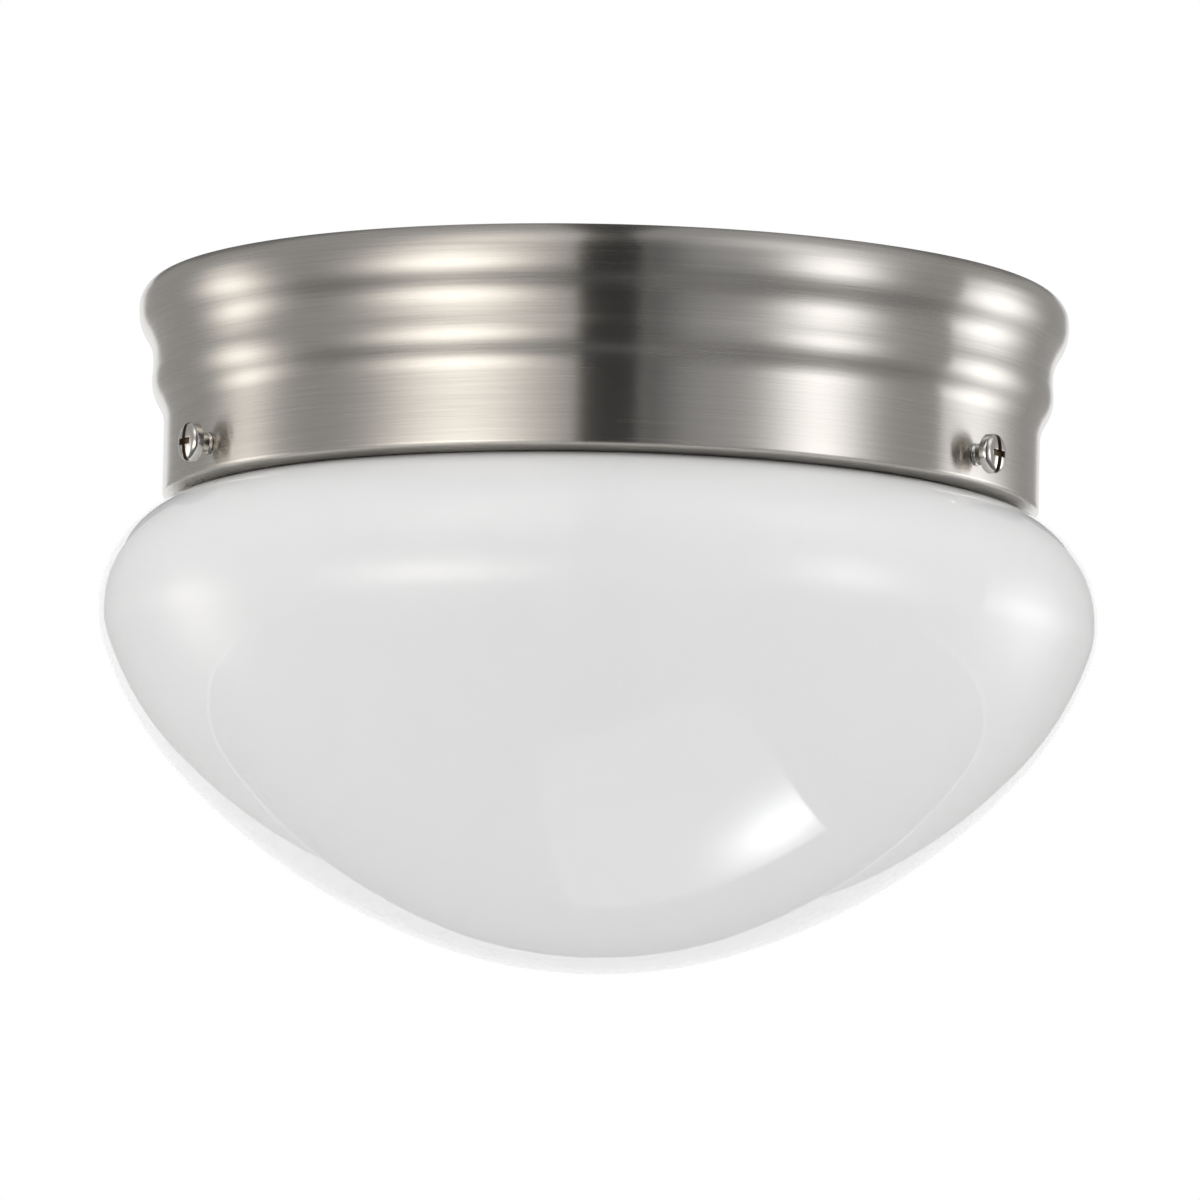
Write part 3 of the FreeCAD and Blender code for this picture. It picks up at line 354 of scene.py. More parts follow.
# %% Draw and spin the glass
GLASS_WALL = 3.0
THREAD_RADIUS = 2.08
LIP_PLAY = 0.35
LIP_FOOT = -SCREW_DEPTH + THREAD_RADIUS + LIP_PLAY
GLASS_LIP_RADIUS = 74.6
FLARE = 30.0
FLARE_BEND = 2.5
NECK_RADIUS = 70.2
NECK_BEND = 3.4
SHOULDER_RISE = 0.31
GLASS_SHOULDER = 21.0
GLASS_RADIUS = 95.25
GLASS_SIDE = 1.0
# radius, turn and the turn of one chord, from the side down to the nearly flat bottom
BOWL_ARCS = ((17.3, 19.0, 2.0), (67.7, 24.4, 1.6), (123.6, 27.8, 1.4))
BOTTOM_STEP = 1.5

flare_turn = math.radians(FLARE)
bend_width = FLARE_BEND * (1 - math.cos(flare_turn))
flare_length = (GLASS_LIP_RADIUS - NECK_RADIUS - bend_width) / math.sin(flare_turn)
lip_top = LIP_FOOT + FLARE_BEND * math.sin(flare_turn) + flare_length * math.cos(flare_turn)
pen = Pen("opal_shade", GLASS_LIP_RADIUS, lip_top, heading=-90 - FLARE)
pen.line(flare_length, parts=3).arc(FLARE_BEND, FLARE)
pen.line(LIP_FOOT + PAN_DEPTH - SHOULDER_RISE - NECK_BEND, parts=2).arc(NECK_BEND, 90, step=7.5)
pen.line(GLASS_RADIUS - GLASS_SHOULDER - NECK_RADIUS - NECK_BEND)
pen.arc(GLASS_SHOULDER, -90, step=3.0).line(GLASS_SIDE)
for radius, turn, chord in BOWL_ARCS:
    pen.arc(radius, -turn, chord)
leftover = 180 + pen.heading
pen.arc(pen.x / math.sin(math.radians(leftover)), -leftover, BOTTOM_STEP)
print("glass reaches down to", round(pen.z, 2), "mm, last radius", round(pen.x, 4))
shade = pen.spin(steps=220)
thicken(shade, GLASS_WALL)
soften(shade, width=1.1, segments=4)
smooth(shade, 40)
report(shade)
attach(shade, "shade")
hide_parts("glass_shade")

# %% [markdown]
# ## The shade screws
# Each is a small machine screw whose head has a steep side, a rounded corner and a shallow crown,
# with a slot right across it and a short bar that makes a cross. One is turned from a template, its
# thread as rings of the real pitch, then slotted and copied round the pan. A tiny bevel on the
# head's edges catches the light as a polished head does. The slot's faces are numbered here for a
# finish of their own: a dark brown that is partly dirt and partly painted shade in the recess.

# %% Turn one screw
SCREW_LENGTH = 15.9
TIP_CHAMFER = 0.5
THREAD_DEPTH = 0.4
THREAD_FLAT = 0.1
PITCH = 0.8
PLAIN_SHANK = 1.2
HEAD_RADIUS = 3.75
HEAD_HEIGHT = 2.6
HEAD_CHAMFER = 0.15
HEAD_SIDE = 0.55
CORNER_RADIUS = 1.25
CROWN_TURN = 15.0

pen = Pen("shade_screw", 0.0, 0.0, heading=90)
pen.to(THREAD_RADIUS - TIP_CHAMFER, 0).to(THREAD_RADIUS, TIP_CHAMFER)
crest = TIP_CHAMFER
while crest + PITCH < SCREW_LENGTH - PLAIN_SHANK:
    pen.to(THREAD_RADIUS, crest + THREAD_FLAT).to(THREAD_RADIUS - THREAD_DEPTH, crest + PITCH / 2)
    crest += PITCH
    pen.to(THREAD_RADIUS, crest)
pen.to(THREAD_RADIUS, SCREW_LENGTH).to(HEAD_RADIUS - HEAD_CHAMFER, SCREW_LENGTH)
pen.to(HEAD_RADIUS, SCREW_LENGTH + HEAD_CHAMFER).to(HEAD_RADIUS, SCREW_LENGTH + HEAD_SIDE)
crown_turn = math.radians(CROWN_TURN)
corner_width = CORNER_RADIUS * (1 - math.sin(crown_turn))
corner_height = CORNER_RADIUS * math.cos(crown_turn)
crown_radius = (HEAD_RADIUS - corner_width) / math.sin(crown_turn)
crown_height = crown_radius * (1 - math.cos(crown_turn))
pen.line(HEAD_HEIGHT - HEAD_SIDE - corner_height - crown_height)
pen.arc(CORNER_RADIUS, 90 - CROWN_TURN, step=7.5).arc(crown_radius, CROWN_TURN, step=3)
first_screw = pen.spin(steps=64)

# %% Slot its head
SLOT_DEPTH = 1.1
SLOT_WIDTH = 1.3
SLOT_LENGTH = 9.0
BAR_WIDTH = 1.2
BAR_LENGTH = 4.2
PLAY = 0.01
FLOOR_PLAY = 0.05
UPRIGHT = 0.2

slot_floor = SCREW_LENGTH + HEAD_HEIGHT - SLOT_DEPTH
for sizes in ((SLOT_LENGTH, SLOT_WIDTH, CUT), (BAR_WIDTH, BAR_LENGTH, CUT)):
    cut_away(first_screw, [block((0, 0, slot_floor + CUT / 2), sizes)])
soften(first_screw, width=0.07, segments=2, angle=50)
smooth(first_screw, 40)
report(first_screw)

# The slot's walls and floor are numbered for a dark brown: partly dirt, partly painted shade in the
# recess.
slot_faces = 0
for face in first_screw.data.polygons:
    along, across, up = (abs(v) / MM for v in face.center)
    in_bar = along < BAR_WIDTH / 2 + PLAY and across < BAR_LENGTH / 2 + PLAY
    in_slot = in_bar or across < SLOT_WIDTH / 2 + PLAY
    wall_or_floor = abs(face.normal.z) < UPRIGHT or abs(up - slot_floor) < FLOOR_PLAY
    if in_slot and wall_or_floor and up > slot_floor - FLOOR_PLAY:
        face.material_index = 1
        slot_faces += 1
print("faces in the slot:", slot_faces)

# %% Copy it round
SCREW_TIP_RING = 70.4

screws = []
for number, angle in enumerate(SCREW_DIRECTIONS, start=1):
    screw = first_screw.copy()
    screw.data = first_screw.data.copy()
    screw.name = screw.data.name = f"shade_screw_{number}"
    bpy.context.collection.objects.link(screw)
    outward = Matrix.Rotation(math.radians(angle), 4, "Z") @ Matrix.Rotation(math.pi / 2, 4, "Y")
    tip = Vector(around(angle, SCREW_TIP_RING, -SCREW_DEPTH)) * MM
    screw.matrix_world = Matrix.Translation(tip) @ outward
    select_only(screw)
    settle()
    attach(screw, f"screw_{number}")
    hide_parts(f"thumb_screw_{number}")
    screws.append(screw)
bpy.data.objects.remove(first_screw)
print("screws:", [screw.name for screw in screws])

# %% [markdown]
# ## The pieces inside and behind
# The bulb, the lampholder, the crossbar and the wiring already have their real shapes in the frame,
# but their meshes are loose triangles that shade in flat facets. Each is copied, the copy's doubled
# points are merged, and its round faces are shaded smooth, while its edges stay crisp. The frame's
# own nodes are left alone.

# %% Smooth copies of the frame's pieces
COPY_WELD = 0.0005
INNER = {
    "thumb_screw_nut_1": ("screw_nut_1", "zinc_steel"),
    "thumb_screw_nut_2": ("screw_nut_2", "zinc_steel"),
    "thumb_screw_nut_3": ("screw_nut_3", "zinc_steel"),
    "insulation_pad": ("glass_fibre_pad", "glass_fibre"),
    "crossbar": ("ceiling_crossbar", "zinc_steel"),
    "pan_screw_1": ("ceiling_screw_1", "zinc_steel"),
    "pan_screw_2": ("ceiling_screw_2", "zinc_steel"),
    "ground_screw": ("green_ground_screw", "green_steel"),
    "ground_stud": ("copper_ground_stud", "copper"),
    "ground_wire": ("copper_ground_wire", "copper"),
    "wire_bushing": ("nylon_bushing", "black_nylon"),
    "lampholder_bracket": ("holder_bracket", "zinc_steel"),
    "bracket_rivet_1": ("holder_rivet_1", "zinc_steel"),
    "bracket_rivet_2": ("holder_rivet_2", "zinc_steel"),
    "lampholder_body": ("porcelain_holder", "glazed_porcelain"),
    "lampholder_shell": ("brass_screw_shell", "shell_brass"),
    "lampholder_eyelet": ("brass_eyelet", "shell_brass"),
    "center_contact": ("brass_contact", "shell_brass"),
    "bulb_envelope": ("frosted_bulb", "frosted_glass"),
    "bulb_cap": ("bulb_screw_cap", "cap_aluminium"),
    "bulb_insulator": ("bulb_black_glass", "black_glass"),
    "bulb_contact": ("bulb_solder_tip", "solder"),
    "lead_black": ("black_lead", "black_insulation"),
    "lead_white": ("white_lead", "white_insulation"),
}


def smooth_copy(node, name):
    """A piece of the frame with merged points and smooth faces, without the frame's own notes."""
    copy = nodes[node].copy()
    copy.data = nodes[node].data.copy()
    for key in list(copy.keys()):
        del copy[key]
    copy.parent = None
    copy.matrix_world = Matrix.Identity(4)
    copy.name = copy.data.name = name
    bpy.context.collection.objects.link(copy)
    select_only(copy)
    if copy.data.has_custom_normals:
        bpy.ops.mesh.customdata_custom_splitnormals_clear()
    bpy.ops.object.mode_set(mode="EDIT")
    bpy.ops.mesh.select_all(action="SELECT")
    bpy.ops.mesh.remove_doubles(threshold=COPY_WELD * MM)
    leave_edit()
    smooth(copy, 30)
    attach(copy, nodes[node]["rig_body"])
    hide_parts(node)
    return copy


inner = {node: smooth_copy(node, name) for node, (name, slot) in INNER.items()}
print(len(inner), "inner pieces,", sum(triangles(piece) for piece in inner.values()), "triangles")

# %% [markdown]
# ## Writing shaders as sums
# A finish is a handful of patterns added, scaled and mixed. Dragging wires for that hides the sums,
# so a small class wraps a socket and lets Python's own + - * add the Math nodes, and one method
# adds any other node.


# %% Sums of sockets
class Wire:
    """An output socket that can be used in sums."""

    def __init__(self, network, socket):
        self.network = network
        self.socket = socket

    def sum_with(self, operation, first, second):
        return self.network.node("ShaderNodeMath", {"operation": operation}, {0: first, 1: second})

    def __add__(self, other):
        return self.sum_with("ADD", self, other)

    def __sub__(self, other):
        return self.sum_with("SUBTRACT", self, other)

    def __rsub__(self, other):
        return self.sum_with("SUBTRACT", other, self)

    def __mul__(self, other):
        return self.sum_with("MULTIPLY", self, other)

    __radd__ = __add__
    __rmul__ = __mul__


# %% Nodes and finishes
class Network:
    """The nodes of a material or of the world."""

    def __init__(self, tree):
        self.tree = tree

    def node(self, kind, settings=None, sockets=None, output=0):
        """Add a node: its settings first, then a value or a wire for each named socket."""
        made = self.tree.nodes.new(kind)
        for name, value in (settings or {}).items():
            if name == "stops":
                self.fill_ramp(made.color_ramp, value)
            else:
                setattr(made, name, value)
        for key, value in (sockets or {}).items():
            if isinstance(value, Wire):
                self.tree.links.new(value.socket, made.inputs[key])
            else:
                made.inputs[key].default_value = value
        return Wire(self, made.outputs[output])

    @staticmethod
    def fill_ramp(ramp, stops):
        while len(ramp.elements) < len(stops):
            ramp.elements.new(0.5)
        for element, (place, level) in zip(ramp.elements, stops):
            element.position = place
            element.color = (level, level, level, 1)

    def connect(self, wire, node, socket):
        """Lead a wire into a node that was there from the start."""
        self.tree.links.new(wire.socket, self.tree.nodes[node].inputs[socket])

    def place(self):
        return self.node("ShaderNodeTexCoord", output="Object")

    def stretched(self, x, y, z):
        """Object coordinates in metres, scaled along each axis."""
        return self.node("ShaderNodeMapping", {"vector_type": "POINT"},
                         {"Vector": self.place(), "Scale": (x, y, z)})

    def noise(self, scale, vector=None, detail=3.0, roughness=0.55):
        return self.node("ShaderNodeTexNoise", sockets={
            "Vector": vector or self.place(), "Scale": scale, "Detail": detail,
            "Roughness": roughness})

    def ramp(self, value, *stops):
        return self.node("ShaderNodeValToRGB", {"stops": stops}, {"Fac": value})

    def specks(self, scale, size):
        """Small soft dots, one in each cell of a scattered pattern."""
        cells = self.node("ShaderNodeTexVoronoi", sockets={
            "Vector": self.place(), "Scale": scale, "Randomness": 1.0})
        return self.ramp(cells, (0.0, 1.0), (size, 0.0))

    def mix(self, factor, first, second):
        """Mix two colours, each a wire or four numbers. A Mix node's colour sockets are its inputs
        6 and 7 and its output 2."""
        return self.node("ShaderNodeMix", {"data_type": "RGBA"}, {0: factor, 6: first, 7: second}, 2)

    def bump(self, height, distance, strength):
        return self.node("ShaderNodeBump", sockets={
            "Height": height, "Distance": distance, "Strength": strength})


class Finish(Network):
    """A material. Numbers that are the same all over go straight on its shader's sockets."""

    def __init__(self, name, **shader):
        self.material = bpy.data.materials.new(name)
        self.material.use_nodes = True
        super().__init__(self.material.node_tree)
        self.shader = self.tree.nodes["Principled BSDF"]
        for socket, value in shader.items():
            self.shader.inputs[socket.replace("_", " ")].default_value = value

    def feed(self, **sockets):
        for name, wire in sockets.items():
            self.connect(wire, self.shader.name, name.replace("_", " "))


def wear(piece, *finishes):
    """Give the piece its finishes. A face that was numbered for the second one keeps its number."""
    second = [face.index for face in piece.data.polygons if face.material_index] if finishes[1:] else []
    piece.data.materials.clear()
    for finish in finishes:
        piece.data.materials.append(finish.material)
    for index in second:
        piece.data.polygons[index].material_index = 1


def describe(*finishes):
    for finish in finishes:
        print(f"{finish.material.name}: {len(finish.tree.nodes)} nodes")


# %% [markdown]
# ## Brushed nickel
# The pan was brushed on the lathe, so its grain runs round it in hair-fine lines and its highlights
# stand up as tall soft bands. A bitmap of scratches could do it, but noise stretched thin along the
# height gives the same lines from every side. The fine rings vary the roughness and colour a
# little, a weak bump makes them real, and anisotropy, turned a quarter, spreads each highlight up
# and down while it stays crisp sideways. A few tiny dark pits are in the plate, as on the real one.

# %% Nickel for the pan
DARK_PLATE = (0.56, 0.535, 0.505, 1)
LIGHT_PLATE = (0.66, 0.635, 0.60, 1)
PIT_COLOUR = (0.08, 0.07, 0.06, 1)

nickel = Finish("brushed_nickel", Metallic=1.0, Anisotropic=1.0, Anisotropic_Rotation=0.25)
fine_lines = nickel.noise(1.0, nickel.stretched(60, 60, 9000), detail=2.0)
broad_lines = nickel.noise(1.0, nickel.stretched(25, 25, 1800), detail=2.0)
cloud = nickel.noise(38.0, detail=2.0)
grain = fine_lines * 0.6 + broad_lines * 0.4
pits = nickel.specks(95.0, 0.022)
few = nickel.ramp(nickel.noise(60.0, detail=1.0), (0.6, 0.0), (0.64, 1.0))
pitted = pits * few
plate = nickel.mix(nickel.ramp(grain, (0.3, 0.0), (0.7, 1.0)), DARK_PLATE, LIGHT_PLATE)
nickel.feed(Base_Color=nickel.mix(pitted, plate, PIT_COLOUR),
            Roughness=grain * 0.10 + cloud * 0.04 + 0.19 + pitted * 0.3,
            Normal=nickel.bump(grain, 0.00001, 0.35))
wear(pan, nickel)
describe(nickel)

# %% [markdown]
# ## Opal glass
# Opal glass is white right through and has a wet, fire-polished skin. A plain white body under a
# smooth skin would look like enamel, so light is let in and scatters under the skin, about as deep
# as two walls, which softens the shade below the pan. The faint cloudiness of blown glass goes in
# the colour, with a very few dark seeds, and a slow, shallow wave in the surface lets reflections
# swim a little.

# %% Opal for the shade
LIGHT_OPAL = (0.82, 0.82, 0.82, 1)
DARK_OPAL = (0.80, 0.80, 0.80, 1)
SEED_COLOUR = (0.35, 0.34, 0.32, 1)

opal = Finish("opal_glass", IOR=1.5, Subsurface_Weight=1.0, Subsurface_Scale=0.006,
              Subsurface_Radius=(1.0, 1.0, 1.0))
cloudy = opal.noise(22.0, detail=2.0)
wave = opal.noise(9.0, detail=1.0)
seeds = opal.specks(42.0, 0.008)
opal.feed(Base_Color=opal.mix(seeds, opal.mix(cloudy, DARK_OPAL, LIGHT_OPAL), SEED_COLOUR),
          Roughness=cloudy * 0.02 + 0.03,
          Normal=opal.bump(wave, 0.0004, 0.25))
wear(shade, opal)
describe(opal)

# %% [markdown]
# ## Plated and plain metals
# The screws are polished nickel, the hidden steel is zinc plated with a faint bluish crystal bloom,
# and copper, brass and aluminium each have their own colour and a little handling wear. They share
# one recipe: a metal whose colour and roughness drift with noise, with a fine bump. The screws'
# slots get the same recipe, brown and dull: partly dirt, partly painted shade in the recess.

# %% Metals
FINISHES = {}
METAL_GRAIN = 400.0


def metal(name, light, dark, rough, drift=0.12):
    finish = FINISHES[name] = Finish(name, Metallic=1.0)
    coarse = finish.noise(METAL_GRAIN / 6, detail=3.0)
    fine = finish.noise(METAL_GRAIN * 4, detail=2.0)
    finish.feed(Base_Color=finish.mix(coarse, (*dark, 1), (*light, 1)),
                Roughness=coarse * drift + fine * 0.05 + (rough - drift / 2),
                Normal=finish.bump(fine, 0.00001, 0.15))


metal("polished_nickel", (0.74, 0.72, 0.69), (0.66, 0.64, 0.60), 0.07, drift=0.04)
# Dark brown for the screws' slots: partly dirt, partly painted shade in the recess.
metal("slot_shade_and_dirt", (0.20, 0.15, 0.10), (0.09, 0.065, 0.045), 0.5)
metal("copper", (0.85, 0.46, 0.30), (0.62, 0.30, 0.18), 0.32)
metal("shell_brass", (0.80, 0.63, 0.33), (0.62, 0.46, 0.22), 0.3)
metal("cap_aluminium", (0.84, 0.84, 0.83), (0.70, 0.70, 0.70), 0.28)
metal("solder", (0.66, 0.66, 0.66), (0.48, 0.48, 0.49), 0.38)
describe(*FINISHES.values())

# %% Zinc and green plate
DARK_ZINC = (0.55, 0.57, 0.60, 1)
LIGHT_ZINC = (0.74, 0.75, 0.76, 1)
DARK_GREEN = (0.02, 0.22, 0.07, 1)
LIGHT_GREEN = (0.05, 0.38, 0.13, 1)

zinc = FINISHES["zinc_steel"] = Finish("zinc_steel", Metallic=1.0)
crystals = zinc.node("ShaderNodeTexVoronoi", {"feature": "F1"}, {
    "Vector": zinc.place(), "Scale": 260.0, "Randomness": 1.0}, output="Color")
bloom = zinc.node("ShaderNodeSeparateColor", sockets={0: crystals})
haze = zinc.noise(70.0, detail=3.0)
zinc.feed(Base_Color=zinc.mix(bloom * 0.5 + haze * 0.5, DARK_ZINC, LIGHT_ZINC),
          Roughness=bloom * 0.12 + haze * 0.12 + 0.24,
          Normal=zinc.bump(haze, 0.00002, 0.2))

green = FINISHES["green_steel"] = Finish("green_steel", Metallic=0.6)
tint = green.noise(500.0)
green.feed(Base_Color=green.mix(tint, DARK_GREEN, LIGHT_GREEN), Roughness=tint * 0.15 + 0.27)
describe(zinc, green)

# %% [markdown]
# ## Porcelain, bulb, nylon and insulation
# The lampholder is glazed porcelain: creamy white and very glossy. The bulb is frosted on the
# inside, so it looks white and matt under a clear skin. Nylon and wire insulation are plain plastics
# with a soft sheen and a slight drag texture. Again one recipe serves them all.


# %% Ceramics, plastics and glass inside
def plain(name, light, dark, rough, scale, depth, **shader):
    finish = FINISHES[name] = Finish(name, **shader)
    drift = finish.noise(scale, detail=3.0)
    fine = finish.noise(scale * 8, detail=2.0)
    finish.feed(Base_Color=finish.mix(drift, (*dark, 1), (*light, 1)),
                Roughness=drift * 0.1 + fine * 0.06 + (rough - 0.08),
                Normal=finish.bump(fine, depth, 0.3))
    describe(finish)


plain("glazed_porcelain", (0.80, 0.785, 0.74), (0.74, 0.725, 0.68), 0.14, 60.0, 0.00003,
      Coat_Weight=0.4, Coat_Roughness=0.05)
plain("frosted_glass", (0.80, 0.80, 0.785), (0.76, 0.76, 0.745), 0.30, 40.0, 0.00001,
      Coat_Weight=0.5, Coat_Roughness=0.06)
plain("black_nylon", (0.045, 0.045, 0.05), (0.025, 0.025, 0.028), 0.42, 300.0, 0.00004)
plain("black_glass", (0.03, 0.03, 0.035), (0.015, 0.015, 0.018), 0.15, 200.0, 0.00002)
plain("black_insulation", (0.035, 0.035, 0.038), (0.02, 0.02, 0.022), 0.45, 250.0, 0.00004)
plain("white_insulation", (0.78, 0.78, 0.76), (0.70, 0.70, 0.67), 0.45, 250.0, 0.00004)

# %% [markdown]
# ## Glass fibre pad
# The pad lies in the pan's recess and keeps the lamp's heat off the ceiling. It is a felted mat of
# pale yellow glass fibres, so its colour is streaky and its surface is dull and lumpy: two stretched
# noises cross each other as lying fibres do, over a coarse felt bump.

# %% Glass fibre
DARK_FIBRE = (0.60, 0.50, 0.24, 1)
LIGHT_FIBRE = (0.84, 0.77, 0.50, 1)

fibre = FINISHES["glass_fibre"] = Finish("glass_fibre", Sheen_Weight=0.3, Sheen_Roughness=0.5)
lengthwise = fibre.noise(1.0, fibre.stretched(1400, 160, 300), detail=3.0)
crosswise = fibre.noise(1.0, fibre.stretched(160, 1400, 300), detail=3.0)
lumps = fibre.noise(110.0, detail=4.0)
strands = lengthwise * 0.5 + crosswise * 0.5
fibre.feed(Base_Color=fibre.mix(fibre.ramp(strands, (0.35, 0.0), (0.65, 1.0)), DARK_FIBRE, LIGHT_FIBRE),
           Roughness=lumps * 0.1 + 0.85,
           Normal=fibre.bump(strands * 0.4 + lumps * 0.6, 0.0012, 0.7))
describe(fibre)

# %% Dress the inner pieces
for node, piece in inner.items():
    wear(piece, FINISHES[INNER[node][1]])
# Each screw's slot faces wear the dark brown of dirt and painted shade.
for screw in screws:
    wear(screw, FINISHES["polished_nickel"], FINISHES["slot_shade_and_dirt"])
print(len(inner) + len(screws), "pieces dressed")

# %% [markdown]
# The insulation of each lead is stripped at its free end, which is bare copper. The faces past the
# cut get the copper finish by their place along the wire's last run.

# %% Bare wire ends
STRIP_RING = 45.0
CUT_ANGLE, ANGLE_BEFORE = 143, 120
BARE_LENGTH = 12
CUT_PLAY = 0.05

for node, side in (("lead_black", -1), ("lead_white", 1)):
    lead = inner[node]
    lead.data.materials.append(FINISHES["copper"].material)
    cut, before = (Vector(around(angle, STRIP_RING, 0)) for angle in (CUT_ANGLE, ANGLE_BEFORE))
    cut_place = Vector((cut.x, side * cut.y, 0)) * MM
    onward = Vector((cut.x - before.x, side * (cut.y - before.y), 0)).normalized()
    bare = 0
    for face in lead.data.polygons:
        offset = face.center - cut_place
        offset.z = 0
        if CUT_PLAY * MM < offset.dot(onward) and offset.length < BARE_LENGTH * MM:
            face.material_index = 1
            bare += 1
    print(node, "bare faces:", bare)

# %% [markdown]
# ## The studio
# The photograph was lit by softboxes standing round the lamp, and its white ground is brighter than
# anything on the object. A like set is built: one grey curtain that runs round the lamp and is open
# behind it, four boxes with a soft bright middle at the lamp's height and two above them, and a dark
# gap where the camera looks through. They are seen only in reflections, as a polished thing sees its
# studio. The plain light itself comes from the world, and the floor catches it.

# %% Glowing cards
LAMP_MIDDLE = Vector((0, 0, -0.062))
HIDDEN_FROM = ("camera", "diffuse", "transmission", "shadow", "volume_scatter")


def glow(name, level=0.0, tint=(1, 1, 1), peak=0.0, spread=(1, 1), middle=(0, 0)):
    """Light at a level, with a soft peak on the card's own X and Y, in metres. A card that has no
    level of its own is clear, and adds only its peak to what stands behind it."""
    finish = Finish(name)
    strength = level
    if peak:
        squeezed = finish.node("ShaderNodeMapping", {"vector_type": "POINT"}, {
            "Vector": finish.place(),
            "Location": (-middle[0] / spread[0], -middle[1] / spread[1], 0),
            "Scale": (1 / spread[0], 1 / spread[1], 0)})
        away = finish.node("ShaderNodeVectorMath", {"operation": "DOT_PRODUCT"},
                           {0: squeezed, 1: squeezed}, output="Value")
        fall = finish.node("ShaderNodeMath", {"operation": "POWER"}, {0: math.exp(-1), 1: away})
        strength = fall * peak + level
    light = finish.node("ShaderNodeEmission", sockets={"Color": (*tint, 1), "Strength": strength})
    if not level:
        light = finish.node("ShaderNodeAddShader", sockets={
            0: light, 1: finish.node("ShaderNodeBsdfTransparent")})
    finish.connect(light, "Material Output", "Surface")
    return finish


def only_reflected(piece, finish):
    """Stage piece that shows in polished surfaces and nowhere else."""
    wear(piece, finish)
    for ray in HIDDEN_FROM:
        setattr(piece, f"visible_{ray}", False)
    print("stage:", piece.name)


def toward(azimuth, elevation=0.0):
    """Direction from the lamp: azimuth 0 is the camera's side, positive to its right."""
    a, e = math.radians(azimuth), math.radians(elevation)
    return Vector((math.sin(a) * math.cos(e), -math.cos(a) * math.cos(e), math.sin(e)))


def widen(piece, width, length):
    """Give the selected plane its size, so that its own X and Y are in metres."""
    piece.scale = (width, length, 1)
    bpy.ops.object.transform_apply(location=False, rotation=False, scale=True)


def card(name, azimuth, elevation, distance, size, **light):
    """A flat card that faces the lamp."""
    direction = toward(azimuth, elevation)
    made = new_plane(name, LAMP_MIDDLE + direction * distance)
    made.rotation_mode = "QUATERNION"
    made.rotation_quaternion = (-direction).to_track_quat("Z", "Y")
    widen(made, *size)
    only_reflected(made, glow(name, **light))


# %% [markdown]
# The curtain is one upright edge spun most of the way round, so that a band of open white is left
# behind the lamp, a little to one side, and lights its outlines.

# %% Curtain
CURTAIN_RADIUS = 2.2
CURTAIN_REACH = 160
CURTAIN_TURN = 2
CURTAIN_FOOT = -1.1
CURTAIN_HEIGHT = 4.2
CURTAIN_LEVEL = 0.38
CURTAIN_TINT = (1, 0.985, 0.965)

hem = toward(CURTAIN_REACH + CURTAIN_TURN) * CURTAIN_RADIUS
curtain = one_point("curtain", (hem.x, hem.y, CURTAIN_FOOT))
bpy.ops.mesh.extrude_region_move(TRANSFORM_OT_translate={"value": (0, 0, CURTAIN_HEIGHT)})
bpy.ops.mesh.select_all(action="SELECT")
bpy.ops.mesh.spin(steps=64, angle=math.radians(2 * CURTAIN_REACH), center=(0, 0, 0), axis=(0, 0, 1))
leave_edit()
only_reflected(curtain, glow("curtain", CURTAIN_LEVEL, CURTAIN_TINT))

# %% [markdown]
# Each box glows round its own middle and fades out, so that its reflection has no hard edge. One
# card hides part of the curtain instead, because its right side was dimmer near the camera.

# %% Boxes
WARM = (1.0, 0.96, 0.90)
COOL = (0.985, 0.99, 1.0)
BOX_DISTANCE = 1.5
GAP_LEVEL = 0.03
MIDDLE = (0, 0)
# name, azimuth, elevation, size, tint, brightness, how far it spreads, and its middle on the card
BOXES = (
    ("box_left", -38, -12, (2.4, 2.6), WARM, 3.4, (0.54, 0.38), MIDDLE),
    ("box_right", 57, 0, (1.8, 2.0), COOL, 2.8, (0.35, 0.34), MIDDLE),
    ("box_far_left", -105, -10, (1.6, 2.2), WARM, 2.1, (0.31, 0.40), MIDDLE),
    ("box_far_right", 119, -4, (1.2, 2.2), COOL, 2.5, (0.42, 0.34), (0.20, 0)),
    ("high_left", -32, 42, (2.4, 2.0), WARM, 1.1, (0.50, 0.50), MIDDLE),
    ("high_right", 60, 42, (2.2, 2.0), COOL, 0.9, (0.50, 0.50), MIDDLE),
)

card("gap", 1.5, 0, 1.3, (0.36, 10.0), level=GAP_LEVEL)
card("dim_right", 25, 0, 1.9, (1.0, 6.0), level=CURTAIN_LEVEL, tint=COOL, peak=-0.25,
     spread=(0.33, 5.0), middle=(0.48, 0))
for name, azimuth, elevation, size, tint, peak, spread, middle in BOXES:
    card(name, azimuth, elevation, BOX_DISTANCE, size, tint=tint, peak=peak, spread=spread,
         middle=middle)

# %% [markdown]
# The lowest box lies under the glass and shows in it as a bright window with a hard corner. It is
# drawn by its four corners, with its brightest place near one of them. Blender numbers a plane's
# corners row by row, so the last two change places to go round.

# %% The box below
BELOW = -1.0
BELOW_CORNERS = ((0.401, -0.41), (0.594, 0.632), (-0.05, 0.653), (-0.164, -0.158))
ROUND_A_PLANE = (0, 1, 3, 2)
HOT = (0.47, 0.40)

below = new_plane("box_below", (*HOT, BELOW))
for corner, (x, y) in zip(ROUND_A_PLANE, BELOW_CORNERS):
    below.data.vertices[corner].co = (x - HOT[0], y - HOT[1], 0)
only_reflected(below, glow("box_below", 0.55, COOL, 5.8, (0.14, 0.17)))

# %% [markdown]
# A grey ceiling and a table top close the set above and below, with the dark gap carried on across
# both, because the pan's rim is turned up and its waist is turned down. A dark valance hangs over the
# opening behind the lamp, so that only its lower part is white.

# %% Above and below
CEILING, CEILING_LEVEL = 2.1, 0.40
TABLE, TABLE_LEVEL = -1.12, 0.18
STRIP_LEVEL = 0.04
VALANCE_LEVEL = 0.10

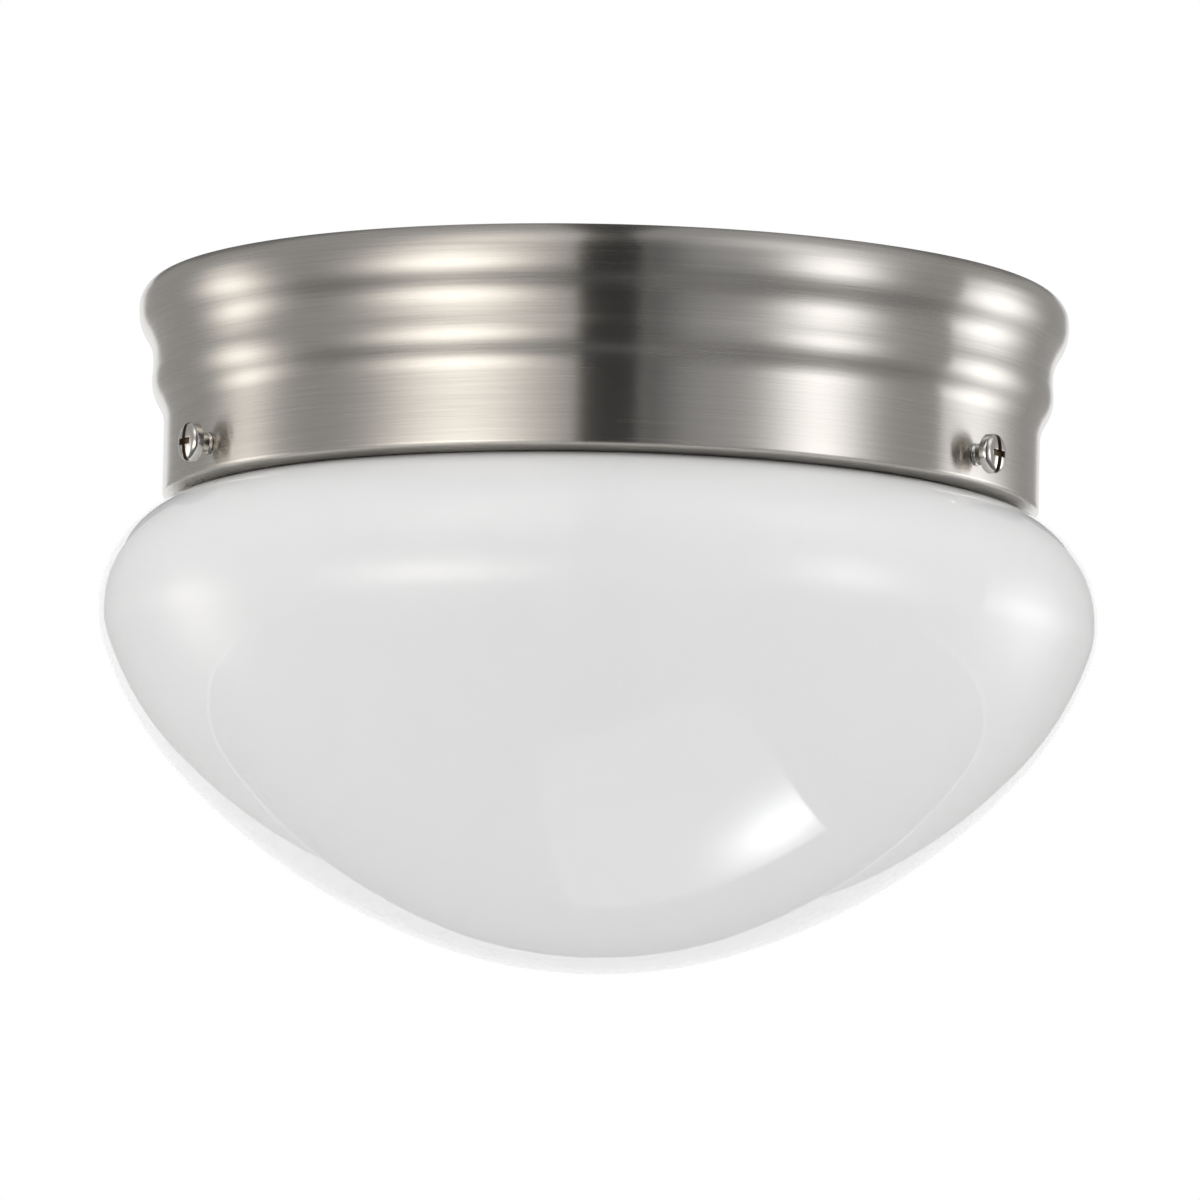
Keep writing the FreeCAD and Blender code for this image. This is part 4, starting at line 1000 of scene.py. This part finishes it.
for name, up, level in (("ceiling", CEILING, CEILING_LEVEL), ("table", TABLE, TABLE_LEVEL)):
    deselect()
    bpy.ops.mesh.primitive_circle_add(vertices=48, radius=CURTAIN_RADIUS, fill_type="NGON",
                                      location=(0, 0, up))
    disc = bpy.context.object
    disc.name = name
    only_reflected(disc, glow(name, level))
for name, place, width, length in (("gap_below", (0.02, -0.80, -1.10), 0.32, 1.1),
                                   ("gap_above", (0.02, 0, 2.05), 0.30, 4.0)):
    strip = new_plane(name, place)
    widen(strip, width, length)
    only_reflected(strip, glow(name, STRIP_LEVEL))
card("valance", 180, 33, 2.3, (2.2, 1.3), level=VALANCE_LEVEL)

# %% [markdown]
# ## Floor and world
# The floor is pale and far below, and is left out when seen from underneath. The world is an even
# white that the camera, metal and glass see as it is, while it lights the object a little more from
# above and from both sides than from below.

# %% Floor
FLOOR_SIZE = 12
FLOOR_HEIGHT = -1.15

floor = new_plane("floor", (0, 0, FLOOR_HEIGHT), FLOOR_SIZE)
pale = Finish("pale_floor", Roughness=0.9, Base_Color=(0.9, 0.9, 0.9, 1))
surface = pale.node("ShaderNodeMixShader", sockets={
    0: pale.node("ShaderNodeNewGeometry", output="Backfacing"),
    1: Wire(pale, pale.shader.outputs["BSDF"]),
    2: pale.node("ShaderNodeBsdfTransparent")})
pale.connect(surface, "Material Output", "Surface")
wear(floor, pale)
print("stage:", floor.name)

# %% World
LIGHT_LEVEL = 0.955
LIGHT_FROM_ABOVE = 0.13
LIGHT_FROM_SIDES = 0.22

world = bpy.data.worlds.new("studio")
world.use_nodes = True
bpy.context.scene.world = world
sky = Network(world.node_tree)
seen, shiny, through = (sky.node("ShaderNodeLightPath", output=f"Is {ray} Ray")
                        for ray in ("Camera", "Glossy", "Transmission"))
mirrored = sky.node("ShaderNodeMath", {"operation": "MAXIMUM"}, {0: shiny, 1: through})
plain_white = sky.node("ShaderNodeMath", {"operation": "MAXIMUM"}, {0: seen, 1: mirrored})
outwards = sky.node("ShaderNodeTexCoord", output="Generated")
upward, aside = (sky.node("ShaderNodeSeparateXYZ", sockets={0: outwards}, output=axis)
                 for axis in ("Z", "X"))
lighting = upward * LIGHT_FROM_ABOVE + aside * aside * LIGHT_FROM_SIDES + LIGHT_LEVEL
sky.tree.nodes["Background"].inputs["Color"].default_value = (1, 1, 1, 1)
sky.connect(plain_white + (1 - plain_white) * lighting, "Background", "Strength")
print("world:", len(sky.tree.nodes), "nodes")

# %% [markdown]
# ## The camera
# The photograph was taken from a little below the rim with a long lens from a few metres away, so the
# pan's lower edge curves only slightly. The whole picture leans clockwise by about a degree.

# %% Camera
CAMERA_DISTANCE = 3.2
CAMERA_BELOW = math.radians(7.70)
LEAN = math.radians(1.2)
FOCAL = 503.5
SENSOR_WIDTH = 36
FARTHEST = 50
AIM = Vector((0.0003, 0, -0.0593))

forward = Vector((0, math.cos(CAMERA_BELOW), math.sin(CAMERA_BELOW)))
camera_data = bpy.data.cameras.new("camera")
camera = bpy.data.objects.new("camera", camera_data)
bpy.context.collection.objects.link(camera)
camera_data.sensor_width = SENSOR_WIDTH
camera_data.lens = FOCAL
camera_data.clip_end = FARTHEST
camera.location = AIM - forward * CAMERA_DISTANCE
camera.rotation_mode = "QUATERNION"
camera.rotation_quaternion = (forward.to_track_quat("-Z", "Y")
                              @ Matrix.Rotation(LEAN, 3, "Z").to_quaternion())
bpy.context.scene.camera = camera
bpy.context.scene.view_settings.view_transform = "Standard"
print("camera at", [round(v, 3) for v in camera.location])
